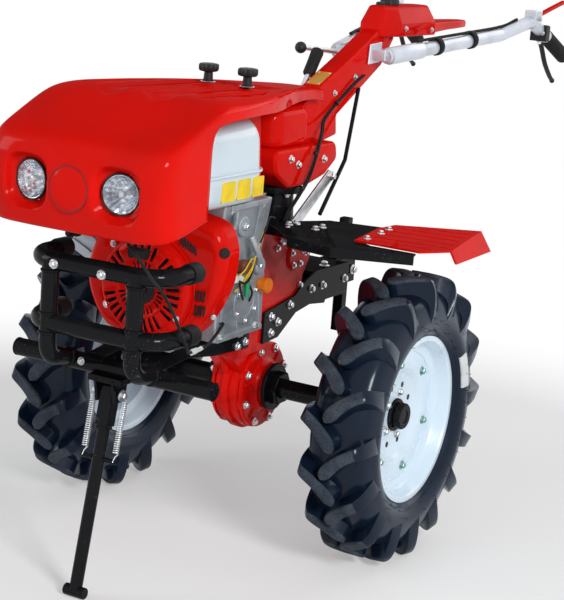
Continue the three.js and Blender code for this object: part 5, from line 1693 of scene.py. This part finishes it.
def hand_levers():
    pin = Shape()
    pin.turned(PIVOT - Vector((74, 0, 0)), (1, 0, 0), [(0, 7), (1, 8), (147, 8), (148, 7)], 32)
    for _, side in SIDES:
        pin.bolt((side * 62.5, PIVOT.y, PIVOT.z), (side, 0, 0), 15)
    pin.piece("handlebar_pin_bolt", "handlebars", STEEL, ("handlebar_pin",), crease=30)

    throttle = Shape()
    path = smooth_path([(186, 952.6, 1046), (187, 964, 1048), (190, 1010, 1059), (196, 1092, 1077.5)], 8)
    count = len(path)
    way = (path[-1] - path[0]).normalized()
    side_way, up_way = square_to(way)
    rings = []
    for i, point in enumerate(path):
        wide = 4.2 + 2.8 * ease(i / (count - 1), 0.1, 0.6)
        rings.append([point + side_way * a + up_way * b for a, b in oval(wide, wide * 0.72, 20)])
    throttle.rings(rings)
    throttle.piece("throttle_lever_moulded", "handlebars", LEVER_RED, ("throttle_lever",), bevel=1.2,
                   crease=50)

    gear = Shape()
    gear.tube([(-41, 138, 789), (-41, 206, 877), (-41, 240, 921)], 6, 24)
    gear.turned((-41, 138, 785.4), (0, 0, 1), [(0, 11.8), (3, 11.8), (5, 9.6), (7, 11), (9, 8.6), (11.4, 8)],
                28)
    gear.piece("gear_lever_rod", "chassis", STEEL, ("gear_lever",), crease=40)
    handle = Shape()
    foot, tip = Vector((-41, 234, 912)), Vector((-41, 272, 965))
    length = (tip - foot).length
    handle.turned(foot, tip - foot, [(0, 7), (0, 11), (3, 13), (length * 0.5, 13.2), (length - 8, 13.9),
                                     (length - 3, 12.6), (length, 8), (length, 0)], 32)
    handle.piece("gear_lever_handle", "chassis", GRIP_RUBBER, crease=35)

    lock = Shape()
    lock.tube(rounded_path([(-22.4, 360, 956), (-40, 360, 956), (-52, 338, 959), (-75, 262, 966)], 8, 6), 6,
              24)
    lock.turned((-22.4, 360, 956), (-1, 0, 0), [(0, 11), (4, 11), (5, 9.6), (5, 5)], 28)
    lock.piece("lock_lever_rod", "chassis", STEEL, ("lock_lever",), crease=35)
    Shape().ball((-76, 256, 966), 12.8, 32).piece("lock_lever_ball", "chassis", BLACK_PLASTIC, crease=60)

    linkage = Shape()
    linkage.prism("x", [(-8, 616), (-18, 600), (-4, 588), (12, 596), (182, 702), (188, 716), (172, 728)],
                  56.4, 62.2)
    linkage.piece("linkage_lever_plate", "chassis", STEEL, ("linkage_lever",), bevel=1.6)
    bolted("linkage_bolts", "chassis", STEEL,
           [((62.4, y, z), (1, 0, 0), 13) for y, z in ((-3, 602), (178, 714))])


column()
console()
turret_details()
for bar_name, bar_side in SIDES:
    handlebar(bar_name, bar_side)
    grip(bar_name, bar_side)
    clutch_lever(bar_name, bar_side)
hand_levers()


# ---------------------------------------------------------------- fenders
PLATE_TOP = 640
WING_TOP = 644.3


def fender(name, side):
    """Black steel plate with a turned-down lip, and the ribbed red wing bolted over it."""
    softened(f"fender_plate_{name}", FRAME_BLACK, 1.2)
    softened(f"fender_{name}", FENDER_RED, 1.6)
    ribs = Shape()
    for y0, x0, x1 in ((-62, 284, 404), (-24, 276, 424), (18, 262, 420), (60, 258, 412), (102, 262, 402),
                       (144, 290, 398)):
        spine = [(side * (x0 + (x1 - x0) * k / 6), y0 + 14 * k / 6, WING_TOP + 0.2) for k in range(7)]
        ribs.sweep(spine, [(5 * c, 2.2 * max(s, -0.3)) for c, s in around(14)])
    ribs.piece(f"wing_ribs_{name}", "chassis", FENDER_RED, crease=50)
    heads = [((side * x, y, WING_TOP + 0.2), (0, 0, 1), 9) for x, y in ((276, -62), (270, 10), (262, 62))]
    heads += [((side * x, y, PLATE_TOP + 0.2), (0, 0, 1), 10) for x in (90, 150) for y in (-40, -10)]
    bolted(f"fender_bolts_{name}", "chassis", STEEL, heads)


# ---------------------------------------------------------------- rod, lead and cables
# Routes in metres, y from the axle line and z from the ground.
LEAD = ((0.088, -0.598, 0.712), (0.093, -0.612, 0.682), (0.110, -0.614, 0.666), (0.127, -0.608, 0.643),
        (0.145, -0.606, 0.622), (0.159, -0.598, 0.604), (0.165, -0.577, 0.574), (0.168, -0.556, 0.541),
        (0.168, -0.534, 0.509), (0.162, -0.510, 0.487), (0.150, -0.485, 0.474), (0.145, -0.450, 0.470),
        (0.140, -0.410, 0.470), (0.132, -0.370, 0.478), (0.126, -0.340, 0.488), (0.120, -0.322, 0.492),
        (0.113, -0.322, 0.492))
CABLES = ((0.031, 0.356, 0.914), (0.029, 0.320, 0.898), (0.028, 0.270, 0.872), (0.028, 0.220, 0.846),
          (0.034, 0.180, 0.826), (0.052, 0.142, 0.808), (0.064, 0.110, 0.786), (0.070, 0.084, 0.752),
          (0.069, 0.062, 0.716), (0.064, 0.040, 0.688), (0.054, 0.022, 0.656), (0.050, 0.016, 0.636),
          (0.050, 0.016, 0.6203))
STRANDS = 4  # thin cables that make up the bundle
LEVER_CABLE = ((0.084, 0.500, 0.9885), (0.117, 0.655, 1.0035), (0.150, 0.812, 1.0195), (0.168, 0.868, 1.0375))


def routed(route, side=1):
    return [Vector((side * x, y, z)) / MM for x, y, z in route]


def cord(name, route, radius, node, body, side=1):
    """A round sheath along a route, standing for its node."""
    sheath = Shape().tube(smooth_path(routed(route, side), 8), radius, 14)
    sheath.piece(name, body, CORD_RUBBER, (node,), crease=60)


def cords():
    cord("headlight_lead_sheath", LEAD, 3, "headlight_lead", "chassis")
    strands = Shape()
    path = smooth_path(routed(CABLES), 8)
    for k in range(STRANDS):
        turns = [2 * math.pi * k / STRANDS + 0.05 * i for i in range(len(path))]
        strands.tube([point + Vector((2.5 * math.cos(a), 2.5 * math.sin(a), 0))
                      for point, a in zip(path, turns)],
                     1.8, 10)
    strands.piece("control_cables_bundle", "chassis", CORD_RUBBER, ("control_cables",), crease=60)
    for name, side in SIDES:
        cord(f"lever_cable_{name}_sheath", LEVER_CABLE, 3.5, f"lever_cable_{name}", "handlebars", side)
    ties = Shape()
    for (x, y, z), way in (((28, 245, 859), (0, 0.87, 0.49)), ((66, 97, 769), (0.1, 0.5, 0.86)),
                           ((66, 50, 702), (0.1, 0.45, 0.89))):
        ties.turned((x, y, z), way, [(-3, 3.5), (-3, 5.4), (3, 5.4), (3, 3.5)], 18)
    ties.turned((168, -545, 525), (0, -0.6, 0.8), [(-2.5, 2.6), (-2.5, 4.4), (2.5, 4.4), (2.5, 2.6)], 16)
    plugs = Shape()
    for near, far, half in (((0.148, -0.474, 0.4715), (0.1455, -0.452, 0.4705), 6.4),
                            ((0.1455, -0.450, 0.4705), (0.143, -0.432, 0.4703), 5.2)):
        plugs.tube(routed((near, far)), half, 4)
    plugs.piece("lead_connectors", "chassis", WHITE_PLASTIC, bevel=0.8, crease=30)
    ties.piece("cable_ties", "chassis", BLACK_PLASTIC, crease=30)
    rod = Shape().tube([(27, 343, 885), (60, 241, 742), (84, 100, 645)], 4.4, 18)
    rod.piece("control_rod_bar", "chassis", FRAME_BLACK, ("control_rod",), crease=40)


for fender_name, fender_side in SIDES:
    fender(fender_name, fender_side)
cords()
